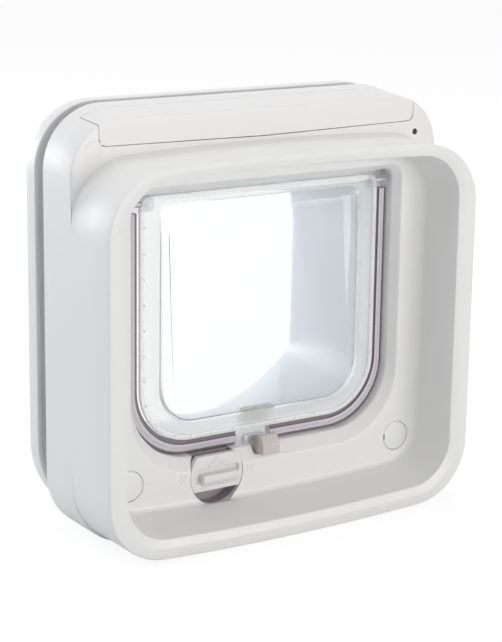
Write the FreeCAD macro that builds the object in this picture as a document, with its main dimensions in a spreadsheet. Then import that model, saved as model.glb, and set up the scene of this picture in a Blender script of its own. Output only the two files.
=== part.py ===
import FreeCAD, Part
import math
import os
import Sketcher

# Microchip-reading pet flap for a house door: a deep white housing with an arched collar round a
# clear swinging flap, a battery bay with a lift-off lid on top, a four-way turn lock and a sliding
# latch under the flap, and a flat outside frame that slips over the tunnel and clamps the door
# panel. Depth is measured from the collar's rim towards the outside, heights from the foot.

doc = FreeCAD.newDocument("cat_flap")
sheet = doc.addObject("Spreadsheet::Sheet", "sizes")
names = []


class Dim:
    """A length together with the sheet expression it comes from."""

    def __init__(self, value, text):
        self.value = value
        self.text = text

    def join(self, other, sign, value):
        right = other.text if isinstance(other, Dim) else repr(float(other))
        return Dim(value, "(" + self.text + " " + sign + " " + right + ")")

    def __add__(self, other):
        return self.join(other, "+", self.value + number(other))

    def __sub__(self, other):
        return self.join(other, "-", self.value - number(other))

    def __mul__(self, other):
        return self.join(other, "*", self.value * number(other))

    def __truediv__(self, other):
        return self.join(other, "/", self.value / number(other))

    def __neg__(self):
        return Dim(-self.value, "(0 - " + self.text + ")")


def number(item):
    return item.value if isinstance(item, Dim) else float(item)


def size(name, value):
    row = len(names) + 1
    names.append(name)
    sheet.set("A%d" % row, name)
    sheet.set("B%d" % row, str(value))
    sheet.setAlias("B%d" % row, name)
    return Dim(float(value), "sizes." + name)


# Housing envelope
unit_width = size("unit_width", 210)
unit_height = size("unit_height", 210)
brow_drop = size("brow_drop", 3.7)
ledge_drop = size("ledge_drop", 21)
collar_reach = size("collar_reach", 35.2)
body_depth = size("body_depth", 28)
panel_gap = size("panel_gap", 8.5)
frame_depth = size("frame_depth", 10)
tunnel_tail = size("tunnel_tail", 34.3)
wall = size("wall", 2.5)
fit_gap = size("fit_gap", 0.3)
shaft_gap = size("shaft_gap", 0.05)
# Curves of the outlines
crown_radius = size("crown_radius", 1500)
collar_corner = size("collar_corner", 31)
brow_corner = size("brow_corner", 26)
body_corner_head = size("body_corner_head", 30)
body_corner_foot = size("body_corner_foot", 31)
frame_corner_head = size("frame_corner_head", 32)
frame_corner_foot = size("frame_corner_foot", 44)
cove_rise = size("cove_rise", 1.8)
# Mouth of the collar and its funnel
land_side = size("land_side", 5.8)
land_foot = size("land_foot", 5.4)
land_head = size("land_head", 2.6)
land_corner = size("land_corner", 26)
rim_bevel = size("rim_bevel", 1.2)
mouth_side = size("mouth_side", 10)
mouth_foot = size("mouth_foot", 9.5)
mouth_head = size("mouth_head", 5.4)
mouth_corner = size("mouth_corner", 23)
fascia_set = size("fascia_set", 8.2)
fascia_side = size("fascia_side", 12.5)
fascia_foot = size("fascia_foot", 15.2)
fascia_head = size("fascia_head", 9)
fascia_corner = size("fascia_corner", 20)
# Flap opening
opening_inset = size("opening_inset", 29.3)
opening_foot = size("opening_foot", 38.5)
opening_drop = size("opening_drop", 39)
opening_corner_foot = size("opening_corner_foot", 33)
opening_corner_head = size("opening_corner_head", 4)
bevel_side = size("bevel_side", 3)
bevel_foot = size("bevel_foot", 6.5)
bevel_depth = size("bevel_depth", 5)
sleeve_length = size("sleeve_length", 8.5)
# Tunnel
tunnel_inset = size("tunnel_inset", 4.7)
tunnel_wall = size("tunnel_wall", 2.2)
floor_step = size("floor_step", 0.5)
floor_fall = size("floor_fall", 7)
ceiling_step = size("ceiling_step", 3)
ceiling_fall = size("ceiling_fall", 18)
tunnel_corner_near = size("tunnel_corner_near", 36)
tunnel_corner_far = size("tunnel_corner_far", 50)
tunnel_corner_head = size("tunnel_corner_head", 3.5)
arch_near = size("arch_near", 3000)
arch_far = size("arch_far", 765)
# Flap
hinge_set = size("hinge_set", 4)
hinge_drop = size("hinge_drop", 6)
pane_inset = size("pane_inset", 6.9)
pane_lift = size("pane_lift", 7.5)
pane_above_hinge = size("pane_above_hinge", 3.5)
pane_thick = size("pane_thick", 3)
pane_corner_foot = size("pane_corner_foot", 28)
pane_corner_head = size("pane_corner_head", 5)
panel_border = size("panel_border", 10.4)
panel_sag = size("panel_sag", 2)
panel_head_drop = size("panel_head_drop", 10.5)
panel_rise = size("panel_rise", 2)
panel_corner = size("panel_corner", 20)
knuckle_radius = size("knuckle_radius", 3.9)
knuckle_length = size("knuckle_length", 11.6)
pin_radius = size("pin_radius", 1.5)
seal_seat = size("seal_seat", 0.4)
seal_clear = size("seal_clear", 0.7)
seal_thick = size("seal_thick", 4.5)
seal_top_drop = size("seal_top_drop", 4.5)
# Lock, latch and magnets
lock_side = size("lock_side", 30.1)
lock_height = size("lock_height", 28.5)
lock_radius = size("lock_radius", 14.9)
lock_flat_head = size("lock_flat_head", 10.2)
lock_flat_foot = size("lock_flat_foot", 7.5)
lock_plate = size("lock_plate", 3)
lock_pocket = size("lock_pocket", 9)
lock_shaft = size("lock_shaft", 5)
lock_pivot = size("lock_pivot", 3)
cam_thick = size("cam_thick", 2.8)
cam_radius = size("cam_radius", 19)
cam_flat = size("cam_flat", 9.2)
latch_width = size("latch_width", 10)
latch_travel = size("latch_travel", 6)
latch_foot = size("latch_foot", 34.6)
latch_head = size("latch_head", 44.2)
latch_reach = size("latch_reach", 3)
magnet_width = size("magnet_width", 10)
# Fixings
screw_inset = size("screw_inset", 25.5)
screw_low = size("screw_low", 30.8)
screw_drop = size("screw_drop", 13.5)
screw_radius = size("screw_radius", 2)
screw_head = size("screw_head", 4.1)
screw_head_thick = size("screw_head_thick", 3)
cover_radius = size("cover_radius", 7.5)
cover_thick = size("cover_thick", 2.1)
tower_radius = size("tower_radius", 5.2)
case_screw_inset = size("case_screw_inset", 5.8)
case_screw_low = size("case_screw_low", 62)
case_screw_drop = size("case_screw_drop", 60)
case_screw_radius = size("case_screw_radius", 1.2)
# Battery bay
lid_inset = size("lid_inset", 14.7)
lid_drop = size("lid_drop", 17.4)
rear_strip = size("rear_strip", 9.9)
lid_wall = size("lid_wall", 2.2)
tray_inset = size("tray_inset", 32.8)
spring_room = size("spring_room", 2.7)
tray_wall = size("tray_wall", 1.6)
tray_floor = size("tray_floor", 1.8)
cell_radius = size("cell_radius", 7.1)
cell_length = size("cell_length", 50.3)
led_inset = size("led_inset", 13)
led_drop = size("led_drop", 22)
led_radius = size("led_radius", 1.6)
button_side = size("button_side", 10)
button_radius = size("button_radius", 2.6)

half_width = unit_width / 2
brow_height = unit_height - brow_drop
collar_height = unit_height - ledge_drop
opening_head = unit_height - opening_drop
fascia_depth = collar_reach - fascia_set
hinge_depth = fascia_depth + bevel_depth + hinge_set
hinge_height = opening_head - hinge_drop
seal_top = hinge_height - seal_top_drop
floor_near = opening_foot - floor_step
floor_far = floor_near - floor_fall
ceiling_near = opening_head - ceiling_step
ceiling_far = ceiling_near - ceiling_fall
pane_foot = opening_foot + pane_lift
screw_side = half_width - screw_inset
screw_high = unit_height - screw_drop
case_screw_side = half_width - case_screw_inset
case_screw_high = unit_height - case_screw_drop
lid_half = half_width - lid_inset
lid_foot = unit_height - lid_drop
lid_depth = body_depth - rear_strip
tray_half = half_width - tray_inset
tray_middle = tray_half - cell_length - spring_room
led_side = half_width - led_inset
led_height = unit_height - led_drop
body_front = collar_reach
body_rear = collar_reach + body_depth
frame_front = body_rear + panel_gap
frame_rear = frame_front + frame_depth
tunnel_end = frame_rear + tunnel_tail
bevel_end = fascia_depth + bevel_depth
sleeve_end = bevel_end + sleeve_length
tunnel_start = sleeve_end + fit_gap
plate_front = body_rear - wall
opening_half = half_width - opening_inset
tunnel_half = opening_half - tunnel_inset
pane_half = opening_half - pane_inset
pane_front = hinge_depth - pane_thick / 2
pane_rear = hinge_depth + pane_thick / 2
zero = Dim(0.0, "0")


def plane(body, role):
    for item in body.Origin.OriginFeatures:
        if item.Role == role:
            return item


def new_body(name):
    body = doc.addObject("PartDesign::Body", name)
    body.Label = name
    body.AllowCompound = True
    return body


def sketch_on(body, role, offset):
    sk = body.newObject("Sketcher::SketchObject", "outline")
    sk.AttachmentSupport = [(plane(body, role), "")]
    sk.MapMode = "FlatFace"
    sk.AttachmentOffset = FreeCAD.Placement(FreeCAD.Vector(0, 0, offset.value), FreeCAD.Rotation())
    sk.setExpression("AttachmentOffset.Base.z", offset.text)
    return sk


def facing(body, depth):
    """Sketch parallel to the front, at a depth behind the rim; draws X and height."""
    return sketch_on(body, "XZ_Plane", -depth)


def sideways(body, across):
    """Sketch across the width at one X; draws depth and height."""
    return sketch_on(body, "YZ_Plane", across)


def level(body, height):
    """Level sketch at one height; draws X and depth."""
    return sketch_on(body, "XY_Plane", height)


def tie(sk, kind, geo, point, value):
    """Fix one coordinate of a point of the sketch to a named size."""
    if value.text == "0":
        axis = -2 if kind == "DistanceX" else -1
        sk.addConstraint(Sketcher.Constraint("PointOnObject", geo, point, axis))
        return
    if value.value >= 0:
        index = sk.addConstraint(Sketcher.Constraint(kind, -1, 1, geo, point, value.value))
        sk.setExpression("Constraints[%d]" % index, value.text)
    else:
        index = sk.addConstraint(Sketcher.Constraint(kind, geo, point, -1, 1, -value.value))
        sk.setExpression("Constraints[%d]" % index, (-value).text)


def radius(sk, geo, value):
    index = sk.addConstraint(Sketcher.Constraint("Radius", geo, value.value))
    sk.setExpression("Constraints[%d]" % index, value.text)


def vec(x, y):
    return FreeCAD.Vector(x, y, 0)


def arc(sk, x, y, r, start, end):
    circle = Part.Circle(vec(x, y), vec(0, 0) + FreeCAD.Vector(0, 0, 1), r)
    return sk.addGeometry(Part.ArcOfCircle(circle, start, end), False)


def line(sk, x1, y1, x2, y2):
    return sk.addGeometry(Part.LineSegment(vec(x1, y1), vec(x2, y2)), False)


def rounded(sk, left, right, foot, head, corner_foot, corner_head, crown=None, arch=None):
    """Outline with rounded corners; its foot and its head can each bulge outwards on a big arc."""
    half_pi = math.pi / 2
    lo, hi, bo, to = left.value, right.value, foot.value, head.value
    rf, rh = corner_foot.value, corner_head.value
    tilt_foot = 0.0
    tilt_head = 0.0
    foot_centre = bo + rf
    head_centre = to - rh
    arch = arch or crown
    if crown is not None:
        big = crown.value
        foot_centre = bo + big - math.sqrt((big - rf) ** 2 - (hi - rf) ** 2)
        tilt_foot = math.asin((hi - rf) / (big - rf))
        a = arc(sk, 0, bo + big, big, 3 * half_pi - tilt_foot, 3 * half_pi + tilt_foot)
    else:
        a = line(sk, lo + rf, bo, hi - rf, bo)
    if arch is not None:
        big = arch.value
        head_centre = to - big + math.sqrt((big - rh) ** 2 - (hi - rh) ** 2)
        tilt_head = math.asin((hi - rh) / (big - rh))
    b = arc(sk, hi - rf, foot_centre, rf, 3 * half_pi + tilt_foot, 4 * half_pi)
    c = line(sk, hi, foot_centre, hi, head_centre)
    d = arc(sk, hi - rh, head_centre, rh, 0, half_pi - tilt_head)
    if arch is None:
        e = line(sk, hi - rh, to, lo + rh, to)
    else:
        e = arc(sk, 0, to - big, big, half_pi - tilt_head, half_pi + tilt_head)
    f = arc(sk, lo + rh, head_centre, rh, half_pi + tilt_head, 2 * half_pi)
    g = line(sk, lo, head_centre, lo, foot_centre)
    k = arc(sk, lo + rf, foot_centre, rf, 2 * half_pi, 3 * half_pi - tilt_foot)
    ring = [a, b, c, d, e, f, g, k]
    for i in range(8):
        here = ring[i]
        after = ring[(i + 1) % 8]
        sk.addConstraint(Sketcher.Constraint("Tangent", here, 2, after, 1))
    for side, place in ((c, right), (g, left)):
        sk.addConstraint(Sketcher.Constraint("Vertical", side))
        tie(sk, "DistanceX", side, 1, place)
    radius(sk, b, corner_foot)
    radius(sk, k, corner_foot)
    radius(sk, d, corner_head)
    radius(sk, f, corner_head)
    for edge, place, bulge, sign in ((a, foot, crown, 1), (e, head, arch, -1)):
        if bulge is None:
            sk.addConstraint(Sketcher.Constraint("Horizontal", edge))
            tie(sk, "DistanceY", edge, 1, place)
        else:
            radius(sk, edge, bulge)
            sk.addConstraint(Sketcher.Constraint("PointOnObject", edge, 3, -2))
            tie(sk, "DistanceY", edge, 3, place + bulge * sign)


def circle(sk, x, y, r):
    geo = sk.addGeometry(Part.Circle(vec(x.value, y.value), FreeCAD.Vector(0, 0, 1), r.value), False)
    radius(sk, geo, r)
    tie(sk, "DistanceX", geo, 3, x)
    tie(sk, "DistanceY", geo, 3, y)


def polygon(sk, points):
    geos = []
    count = len(points)
    for i in range(count):
        x1, y1 = points[i]
        x2, y2 = points[(i + 1) % count]
        geos.append(line(sk, x1.value, y1.value, x2.value, y2.value))
    for i in range(count):
        sk.addConstraint(Sketcher.Constraint("Coincident", geos[i], 2, geos[(i + 1) % count], 1))
    for i in range(count):
        tie(sk, "DistanceX", geos[i], 1, points[i][0])
        tie(sk, "DistanceY", geos[i], 1, points[i][1])


def box(sk, left, right, foot, head):
    polygon(sk, [(left, foot), (right, foot), (right, head), (left, head)])


def checked(body, feature, before, grows):
    doc.recompute()
    after = feature.Shape.Volume
    if grows and not after > before + 1e-6:
        raise RuntimeError(body.Label + ": " + feature.Name + " adds nothing")
    if not grows and not after < before - 1e-6:
        raise RuntimeError(body.Label + ": " + feature.Name + " cuts nothing")
    return feature


def volume(body):
    doc.recompute()
    return body.Tip.Shape.Volume if body.Tip is not None else 0.0


def extrude(body, sk, length, backwards, kind, grows):
    before = volume(body)
    feature = body.newObject(kind, "step")
    feature.Refine = False
    feature.Profile = sk
    feature.Length = length.value
    feature.Reversed = backwards
    feature.setExpression("Length", length.text)
    return checked(body, feature, before, grows)


def pad(body, sk, length, backwards=True):
    """Pads of a front sketch run towards the outside; other sketches pass backwards=False."""
    return extrude(body, sk, length, backwards, "PartDesign::Pad", True)


def pocket(body, sk, length, backwards=False):
    """Pockets of a front sketch cut towards the outside unless told to run backwards."""
    return extrude(body, sk, length, backwards, "PartDesign::Pocket", False)


def loft(body, sketches, adds=True):
    before = volume(body)
    kind = "PartDesign::AdditiveLoft" if adds else "PartDesign::SubtractiveLoft"
    feature = body.newObject(kind, "loft")
    feature.Refine = False
    feature.Profile = sketches[0]
    feature.Sections = sketches[1:]
    feature.Ruled = True
    return checked(body, feature, before, adds)


def soften(body, amount, chosen, kind="PartDesign::Fillet"):
    """Rounds or bevels the edges of the last step that the test picks."""
    doc.recompute()
    tip = body.Tip
    before = tip.Shape.Volume
    picked = []
    for i, edge in enumerate(tip.Shape.Edges):
        if chosen(edge.BoundBox):
            picked.append("Edge%d" % (i + 1))
    feature = body.newObject(kind, "soft")
    feature.Base = (tip, picked)
    if kind == "PartDesign::Fillet":
        feature.Radius = amount.value
        feature.setExpression("Radius", amount.text)
    else:
        feature.Size = amount.value
        feature.setExpression("Size", amount.text)
    doc.recompute()
    if abs(feature.Shape.Volume - before) < 1e-6:
        raise RuntimeError(body.Label + ": the edges stay sharp")
    return feature


# Section of the tunnel at any depth, so that whatever meets it follows its slope
def along(near, far, depth):
    return near + (far - near) * (depth - tunnel_start) / (tunnel_end - tunnel_start)


def tunnel_outline(body, depth, grow):
    sk = facing(body, depth)
    foot = along(floor_near, floor_far, depth) - grow
    head = along(ceiling_near, ceiling_far, depth) + grow
    corner = along(tunnel_corner_near, tunnel_corner_far, depth) + grow
    side = tunnel_half + grow
    arch = along(arch_near, arch_far, depth) + grow
    rounded(sk, -side, side, foot, head, corner, tunnel_corner_head + grow, arch=arch)
    return sk


def collar_outline(body, depth, inset, rise):
    sk = facing(body, depth)
    side = half_width - inset
    corner = collar_corner - inset
    rounded(sk, -side, side, inset, collar_height - inset + rise, corner, corner, crown_radius)
    return sk


def body_outline(body, depth, inset):
    """Section of the body shell; its top slopes up from the brow to the rear."""
    sk = facing(body, depth)
    side = half_width - inset
    share = (depth - body_front) / body_depth
    height = brow_height + (unit_height - brow_height) * share
    corner_head = brow_corner + (body_corner_head - brow_corner) * share
    rounded(sk, -side, side, inset, height - inset, body_corner_foot - inset, corner_head - inset)
    return sk


def opening_outline(body, depth, grow_side, grow_foot):
    sk = facing(body, depth)
    side = opening_half + grow_side
    corner = opening_corner_foot + grow_side
    head = opening_head + grow_side
    rounded(sk, -side, side, opening_foot - grow_foot, head, corner, opening_corner_head + grow_side)
    return sk


def mouth_outline(body, depth, side_in, foot_in, head_in, corner, grow):
    sk = facing(body, depth)
    side = half_width - side_in + grow
    head = collar_height - head_in + grow
    rounded(sk, -side, side, foot_in - grow, head, corner + grow, corner + grow, crown_radius)
    return sk


# ---- Front case: collar, fascia and body shell, one moulding ----
case = new_body("front_case")
pad(case, collar_outline(case, zero, zero, zero), collar_reach)
cove = [
    collar_outline(case, collar_reach - cove_rise * 2, zero, zero),
    collar_outline(case, collar_reach - cove_rise * 0.6, zero, cove_rise * 0.3),
    collar_outline(case, collar_reach, zero, cove_rise),
]
loft(case, cove)
loft(case, [body_outline(case, body_front, zero), body_outline(case, body_rear, zero)])
# hollow of the body, then of the collar, leaving one wall all round
loft(case, [body_outline(case, body_front + wall, wall), body_outline(case, body_rear, wall)], adds=False)
pocket(case, collar_outline(case, body_front + wall, wall, zero), collar_reach, backwards=True)
# funnel and fascia as a solid plug, then its cavity
loft(case, [
    mouth_outline(case, rim_bevel, mouth_side, mouth_foot, mouth_head, mouth_corner, wall),
    mouth_outline(case, fascia_depth + wall, fascia_side, fascia_foot, fascia_head, fascia_corner, wall),
])
loft(case, [
    mouth_outline(case, zero, land_side, land_foot, land_head, land_corner, zero),
    mouth_outline(case, rim_bevel, mouth_side, mouth_foot, mouth_head, mouth_corner, zero),
], adds=False)
loft(case, [
    mouth_outline(case, rim_bevel, mouth_side, mouth_foot, mouth_head, mouth_corner, zero),
    mouth_outline(case, fascia_depth, fascia_side, fascia_foot, fascia_head, fascia_corner, zero),
], adds=False)
# what carries the bevel, the sleeve, the lock and the screws behind the fascia
loft(case, [
    opening_outline(case, fascia_depth + wall / 5, bevel_side + wall, bevel_foot + wall),
    opening_outline(case, bevel_end + wall / 2, wall, wall),
])
pad(case, opening_outline(case, bevel_end, wall, wall), sleeve_length)
sk = facing(case, fascia_depth + wall / 5)
circle(sk, -lock_side, lock_height, lock_radius + wall)
pad(case, sk, lock_pocket + wall - wall / 5)
sk = facing(case, fascia_depth + wall / 5)
for side in (-screw_side, screw_side):
    circle(sk, side, screw_low, cover_radius + wall * 0.8)
pad(case, sk, cover_thick + screw_head_thick + wall * 1.5)
sk = facing(case, fascia_depth + wall)
for side in (-screw_side, screw_side):
    circle(sk, side, screw_low, tower_radius)
pad(case, sk, plate_front - fascia_depth - wall)
upper_seat = body_front + wall + screw_head_thick * 2
sk = facing(case, upper_seat)
for side in (-screw_side, screw_side):
    circle(sk, side, screw_high, tower_radius)
pad(case, sk, plate_front - upper_seat)
rib_front = body_front + lid_depth + wall / 2
sk = facing(case, rib_front)
for side in (-screw_side, screw_side):
    box(sk, side - wall * 0.4, side + wall * 0.4, screw_high, unit_height - wall - 0.6)
pad(case, sk, plate_front - rib_front)
# bosses for the small screws that hold the rear case
boss_radius = case_screw_radius + wall
boss_front = body_front + wall * 2
sk = facing(case, boss_front)
for side in (-case_screw_side, case_screw_side):
    for height in (case_screw_low, case_screw_high):
        circle(sk, side, height, boss_radius)
pad(case, sk, plate_front - boss_front)
# stiffening ribs between the funnel and the outer skin
sk = facing(case, wall * 0.8)
for side in (-1, 1):
    for step in range(3):
        inner = half_width - mouth_side + wall * 0.5
        outer = half_width - wall * 0.5
        height = collar_height / 2 + Dim(45.0 * (step - 1), repr(45.0 * (step - 1)))
        if side > 0:
            box(sk, inner, outer, height - wall * 0.3, height + wall * 0.3)
        else:
            box(sk, -outer, -inner, height - wall * 0.3, height + wall * 0.3)
pad(case, sk, fascia_depth - wall)
# the opening with its bevel
loft(case, [
    opening_outline(case, fascia_depth, bevel_side, bevel_foot),
    opening_outline(case, bevel_end, zero, zero),
], adds=False)
pocket(case, opening_outline(case, bevel_end, zero, zero), sleeve_length)
# recess and bearing of the turn lock
sk = facing(case, fascia_depth - wall)
circle(sk, -lock_side, lock_height, lock_radius + fit_gap)
pocket(case, sk, lock_pocket + wall)
sk = facing(case, fascia_depth)
circle(sk, -lock_side, lock_height, lock_shaft + shaft_gap)
pocket(case, sk, lock_pocket + wall * 2)
# recesses of the screw covers, seats of the screw heads, screw holes
sk = facing(case, fascia_depth)
for side in (-screw_side, screw_side):
    circle(sk, side, screw_low, cover_radius + fit_gap / 2)
pocket(case, sk, cover_thick)
lower_seat = fascia_depth + cover_thick + screw_head_thick + fit_gap * 6
sk = facing(case, fascia_depth)
for side in (-screw_side, screw_side):
    circle(sk, side, screw_low, screw_head + fit_gap)
pocket(case, sk, lower_seat - fascia_depth)
sk = facing(case, fascia_depth)
for side in (-screw_side, screw_side):
    for height in (screw_low, screw_high):
        circle(sk, side, height, screw_radius + fit_gap)
pocket(case, sk, body_depth + collar_reach)
sk = facing(case, boss_front + wall)
for side in (-case_screw_side, case_screw_side):
    for height in (case_screw_low, case_screw_high):
        circle(sk, side, height, case_screw_radius + shaft_gap)
pocket(case, sk, body_depth)
# slot of the latch: through the bevel, and down behind the fascia for its stem
slot_half = latch_width / 2 + fit_gap * 1.3
slot_end = bevel_end + pane_front - bevel_end - fit_gap / 3
sk = facing(case, fascia_depth - wall)
box(sk, -slot_half, slot_half, latch_foot - fit_gap, opening_foot + wall)
pocket(case, sk, slot_end - fascia_depth + wall)
sk = facing(case, fascia_depth + wall + 1)
box(sk, -slot_half, slot_half, opening_foot - bevel_foot - wall * 2, opening_foot + wall)
pocket(case, sk, slot_end - fascia_depth - wall - 1)
# hinge bosses on the sleeve and their bores
for sign in (-1, 1):
    reach = opening_half + wall / 2
    sk = sideways(case, reach if sign > 0 else -reach)
    circle(sk, hinge_depth, hinge_height, pin_radius + wall * 1.2)
    pad(case, sk, wall * 2, backwards=sign < 0)
    reach = opening_half - wall / 2
    sk = sideways(case, reach if sign > 0 else -reach)
    circle(sk, hinge_depth, hinge_height, pin_radius + shaft_gap)
    pocket(case, sk, wall * 2.6, backwards=sign > 0)
# opening for the battery lid, with a foot that sags a little in the middle, and the light's hole
lid_gap_half = lid_half + fit_gap
sk = facing(case, body_front - wall)
polygon(sk, [
    (-lid_gap_half, lid_foot + 1), (zero, lid_foot - fit_gap), (lid_gap_half, lid_foot + 1),
    (lid_gap_half, unit_height + wall), (-lid_gap_half, unit_height + wall),
])
pocket(case, sk, lid_depth + fit_gap + wall)
sk = facing(case, body_front - wall)
circle(sk, led_side, led_height, led_radius)
pocket(case, sk, wall * 3)
# pocket of the frame magnet in the sleeve's floor
magnet_front = slot_end + wall * 0.3
magnet_depth = wall * 1.6
sk = facing(case, magnet_front)
box(sk, zero - magnet_width * 0.9, magnet_width * 0.3, opening_foot - wall * 0.8, opening_foot + wall)
pocket(case, sk, magnet_depth)

# ---- Rear case: back plate with the tunnel ----
rear = new_body("rear_case")
plate_inset = wall + fit_gap * 0.7
loft(rear, [body_outline(rear, plate_front, plate_inset), body_outline(rear, body_rear, plate_inset)])
loft(rear, [
    tunnel_outline(rear, tunnel_start, tunnel_wall),
    tunnel_outline(rear, tunnel_end, tunnel_wall),
])
pad(rear, opening_outline(rear, tunnel_start, wall, wall), tunnel_wall)
cam_front = tunnel_start + fit_gap
sk = facing(rear, cam_front + cam_thick + fit_gap * 2)
lug_side = lock_shaft * 1.2
box(sk, -lock_side - lug_side, -lock_side + lug_side, lock_height - lock_shaft * 1.6, floor_near - tunnel_wall)
pad(rear, sk, wall)
# cradle of the latch coil
coil_rear = hinge_depth + 9.6
coil_foot = lock_height - 19.5
coil_head = lock_height - 4.9
coil_half = latch_width * 0.8
sk = facing(rear, coil_rear)
box(sk, -coil_half, coil_half, coil_foot, coil_head)
pad(rear, sk, wall)
sk = facing(rear, coil_rear)
box(sk, -coil_half, coil_half, coil_foot, coil_foot + wall)
pad(rear, sk, plate_front - coil_rear)
# posts of the control board
board_front = plate_front - wall - wall * 0.64
board_rear = plate_front - wall
post_height = screw_high - 7.5
sk = facing(rear, board_rear)
for side in (-1, 1):
    circle(sk, tray_middle * (1.25 * side), post_height, wall)
pad(rear, sk, wall)
# the passage, holes and the cam's slot
loft(rear, [
    tunnel_outline(rear, tunnel_start, zero),
    tunnel_outline(rear, tunnel_end, zero),
], adds=False)
sk = facing(rear, tunnel_start - fit_gap)
cam_reach = cam_radius + fit_gap * 1.5
box(sk, -lock_side - cam_reach, -lock_side + cam_reach, lock_height, floor_near + wall * 2)
pocket(rear, sk, cam_thick + fit_gap * 3)
sk = facing(rear, cam_front)
circle(sk, -lock_side, lock_height, lock_pivot + shaft_gap)
pocket(rear, sk, cam_thick + fit_gap * 2 + wall * 2)
sk = facing(rear, plate_front)
for side in (-screw_side, screw_side):
    for height in (screw_low, screw_high):
        circle(sk, side, height, screw_radius + fit_gap)
pocket(rear, sk, wall * 1.5)
sk = facing(rear, plate_front)
for side in (-case_screw_side, case_screw_side):
    for height in (case_screw_low, case_screw_high):
        circle(sk, side, height, case_screw_radius + fit_gap)
pocket(rear, sk, wall * 1.5)
sk = facing(rear, plate_front + wall * 0.4)
for side in (-case_screw_side, case_screw_side):
    for height in (case_screw_low, case_screw_high):
        circle(sk, side, height, case_screw_radius * 2 + fit_gap)
pocket(rear, sk, wall)

# ---- Exterior frame: shallow tray that slips over the tunnel ----
frame = new_body("exterior_frame")
sk = facing(frame, frame_front)
rounded(sk, -half_width, half_width, zero, unit_height, frame_corner_foot, frame_corner_head)
pad(frame, sk, frame_depth)
edge_round = wall
rear_y = frame_rear.value
soften(frame, edge_round, lambda b: b.YMin > rear_y - 0.01)
sk = facing(frame, frame_front)
inner = half_width - tunnel_wall
rounded(sk, -inner, inner, tunnel_wall, unit_height - tunnel_wall, frame_corner_foot - tunnel_wall,
        frame_corner_head - tunnel_wall)
pocket(frame, sk, frame_depth - wall)
sleeve_grow = tunnel_wall * 2 + fit_gap
pad(frame, tunnel_outline(frame, frame_front, sleeve_grow), frame_depth)
sk = facing(frame, frame_front)
for side in (-screw_side, screw_side):
    for height in (screw_low, screw_high):
        circle(sk, side, height, tower_radius)
pad(frame, sk, frame_depth - wall / 2)
rib = wall * 0.3
sk = facing(frame, frame_front + wall * 0.4)
for sign in (-1, 1):
    side = tunnel_half * (0.56 * sign)
    box(sk, side - rib, side + rib, tunnel_wall / 2, floor_far)
    box(sk, side - rib, side + rib, ceiling_near, unit_height - tunnel_wall / 2)
    for height in (case_screw_low + 5.6, case_screw_high + 22):
        if sign > 0:
            box(sk, tunnel_half + tunnel_wall * 1.5, half_width - tunnel_wall / 2, height - rib, height + rib)
        else:
            box(sk, -half_width + tunnel_wall / 2, -tunnel_half - tunnel_wall * 1.5, height - rib, height + rib)
pad(frame, sk, frame_depth - wall)
loft(frame, [
    tunnel_outline(frame, frame_front, tunnel_wall + fit_gap),
    tunnel_outline(frame, frame_rear, tunnel_wall + fit_gap),
], adds=False)
sk = facing(frame, frame_front)
for side in (-screw_side, screw_side):
    for height in (screw_low, screw_high):
        circle(sk, side, height, screw_radius + shaft_gap)
pocket(frame, sk, frame_depth - wall)

# ---- Flap: clear moulding with a raised middle panel and two knuckles ----
flap = new_body("flap")
pane_head = hinge_height + pane_above_hinge
sk = facing(flap, pane_front)
rounded(sk, -pane_half, pane_half, pane_foot, pane_head, pane_corner_foot, pane_corner_head)
pad(flap, sk, pane_thick)
panel_half = pane_half - panel_border
panel_foot = pane_foot + panel_border - panel_sag
panel_head = pane_head - panel_head_drop
sk = facing(flap, pane_front)
rounded(sk, -panel_half, panel_half, panel_foot, panel_head, panel_corner, panel_corner * 0.5)
pad(flap, sk, panel_rise, backwards=False)
front_y = pane_front.value - panel_rise.value
soften(flap, panel_rise * 0.5, lambda b: b.YMax < front_y + 0.01)
sk = facing(flap, pane_rear)
inner_half = panel_half - pane_thick
rounded(sk, -inner_half, inner_half, panel_foot + pane_thick, panel_head - pane_thick,
        panel_corner - pane_thick, panel_corner * 0.5 - pane_thick)
pocket(flap, sk, panel_rise, backwards=True)
knuckle_start = opening_half - knuckle_length - wall * 0.56
for sign in (-1, 1):
    sk = sideways(flap, knuckle_start if sign > 0 else -knuckle_start)
    circle(sk, hinge_depth, hinge_height, knuckle_radius)
    pad(flap, sk, knuckle_length, backwards=sign < 0)
for sign in (-1, 1):
    sk = sideways(flap, knuckle_start if sign > 0 else -knuckle_start)
    circle(sk, hinge_depth, hinge_height, pin_radius)
    pocket(flap, sk, knuckle_length, backwards=sign > 0)

# ---- Draught seal in the opening, round the flap's sides and foot ----
seal = new_body("flap_seal")
seal_front = tunnel_start - fit_gap - seal_thick
pad(seal, opening_outline(seal, seal_front, -seal_seat, -seal_seat), seal_thick)
sk = facing(seal, seal_front)
rounded(sk, -pane_half - seal_clear, pane_half + seal_clear, pane_foot - seal_clear, opening_head + wall,
        pane_corner_foot + seal_clear, pane_corner_head)
pocket(seal, sk, seal_thick)
sk = facing(seal, seal_front)
box(sk, -unit_width, unit_width, seal_top, unit_height)
pocket(seal, sk, seal_thick)
sk = facing(seal, seal_front)
box(sk, zero - magnet_width * 1.3, magnet_width * 0.7, zero + wall, pane_foot + wall)
pocket(seal, sk, seal_thick)

# ---- Hinge pins, one at each side ----
pins = new_body("hinge_pins")
pin_start = knuckle_start + wall
pin_end = opening_half + wall * 1.9
for sign in (-1, 1):
    sk = sideways(pins, pin_start if sign > 0 else -pin_start)
    circle(sk, hinge_depth, hinge_height, pin_radius)
    pad(pins, sk, pin_end - pin_start, backwards=sign < 0)

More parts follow.
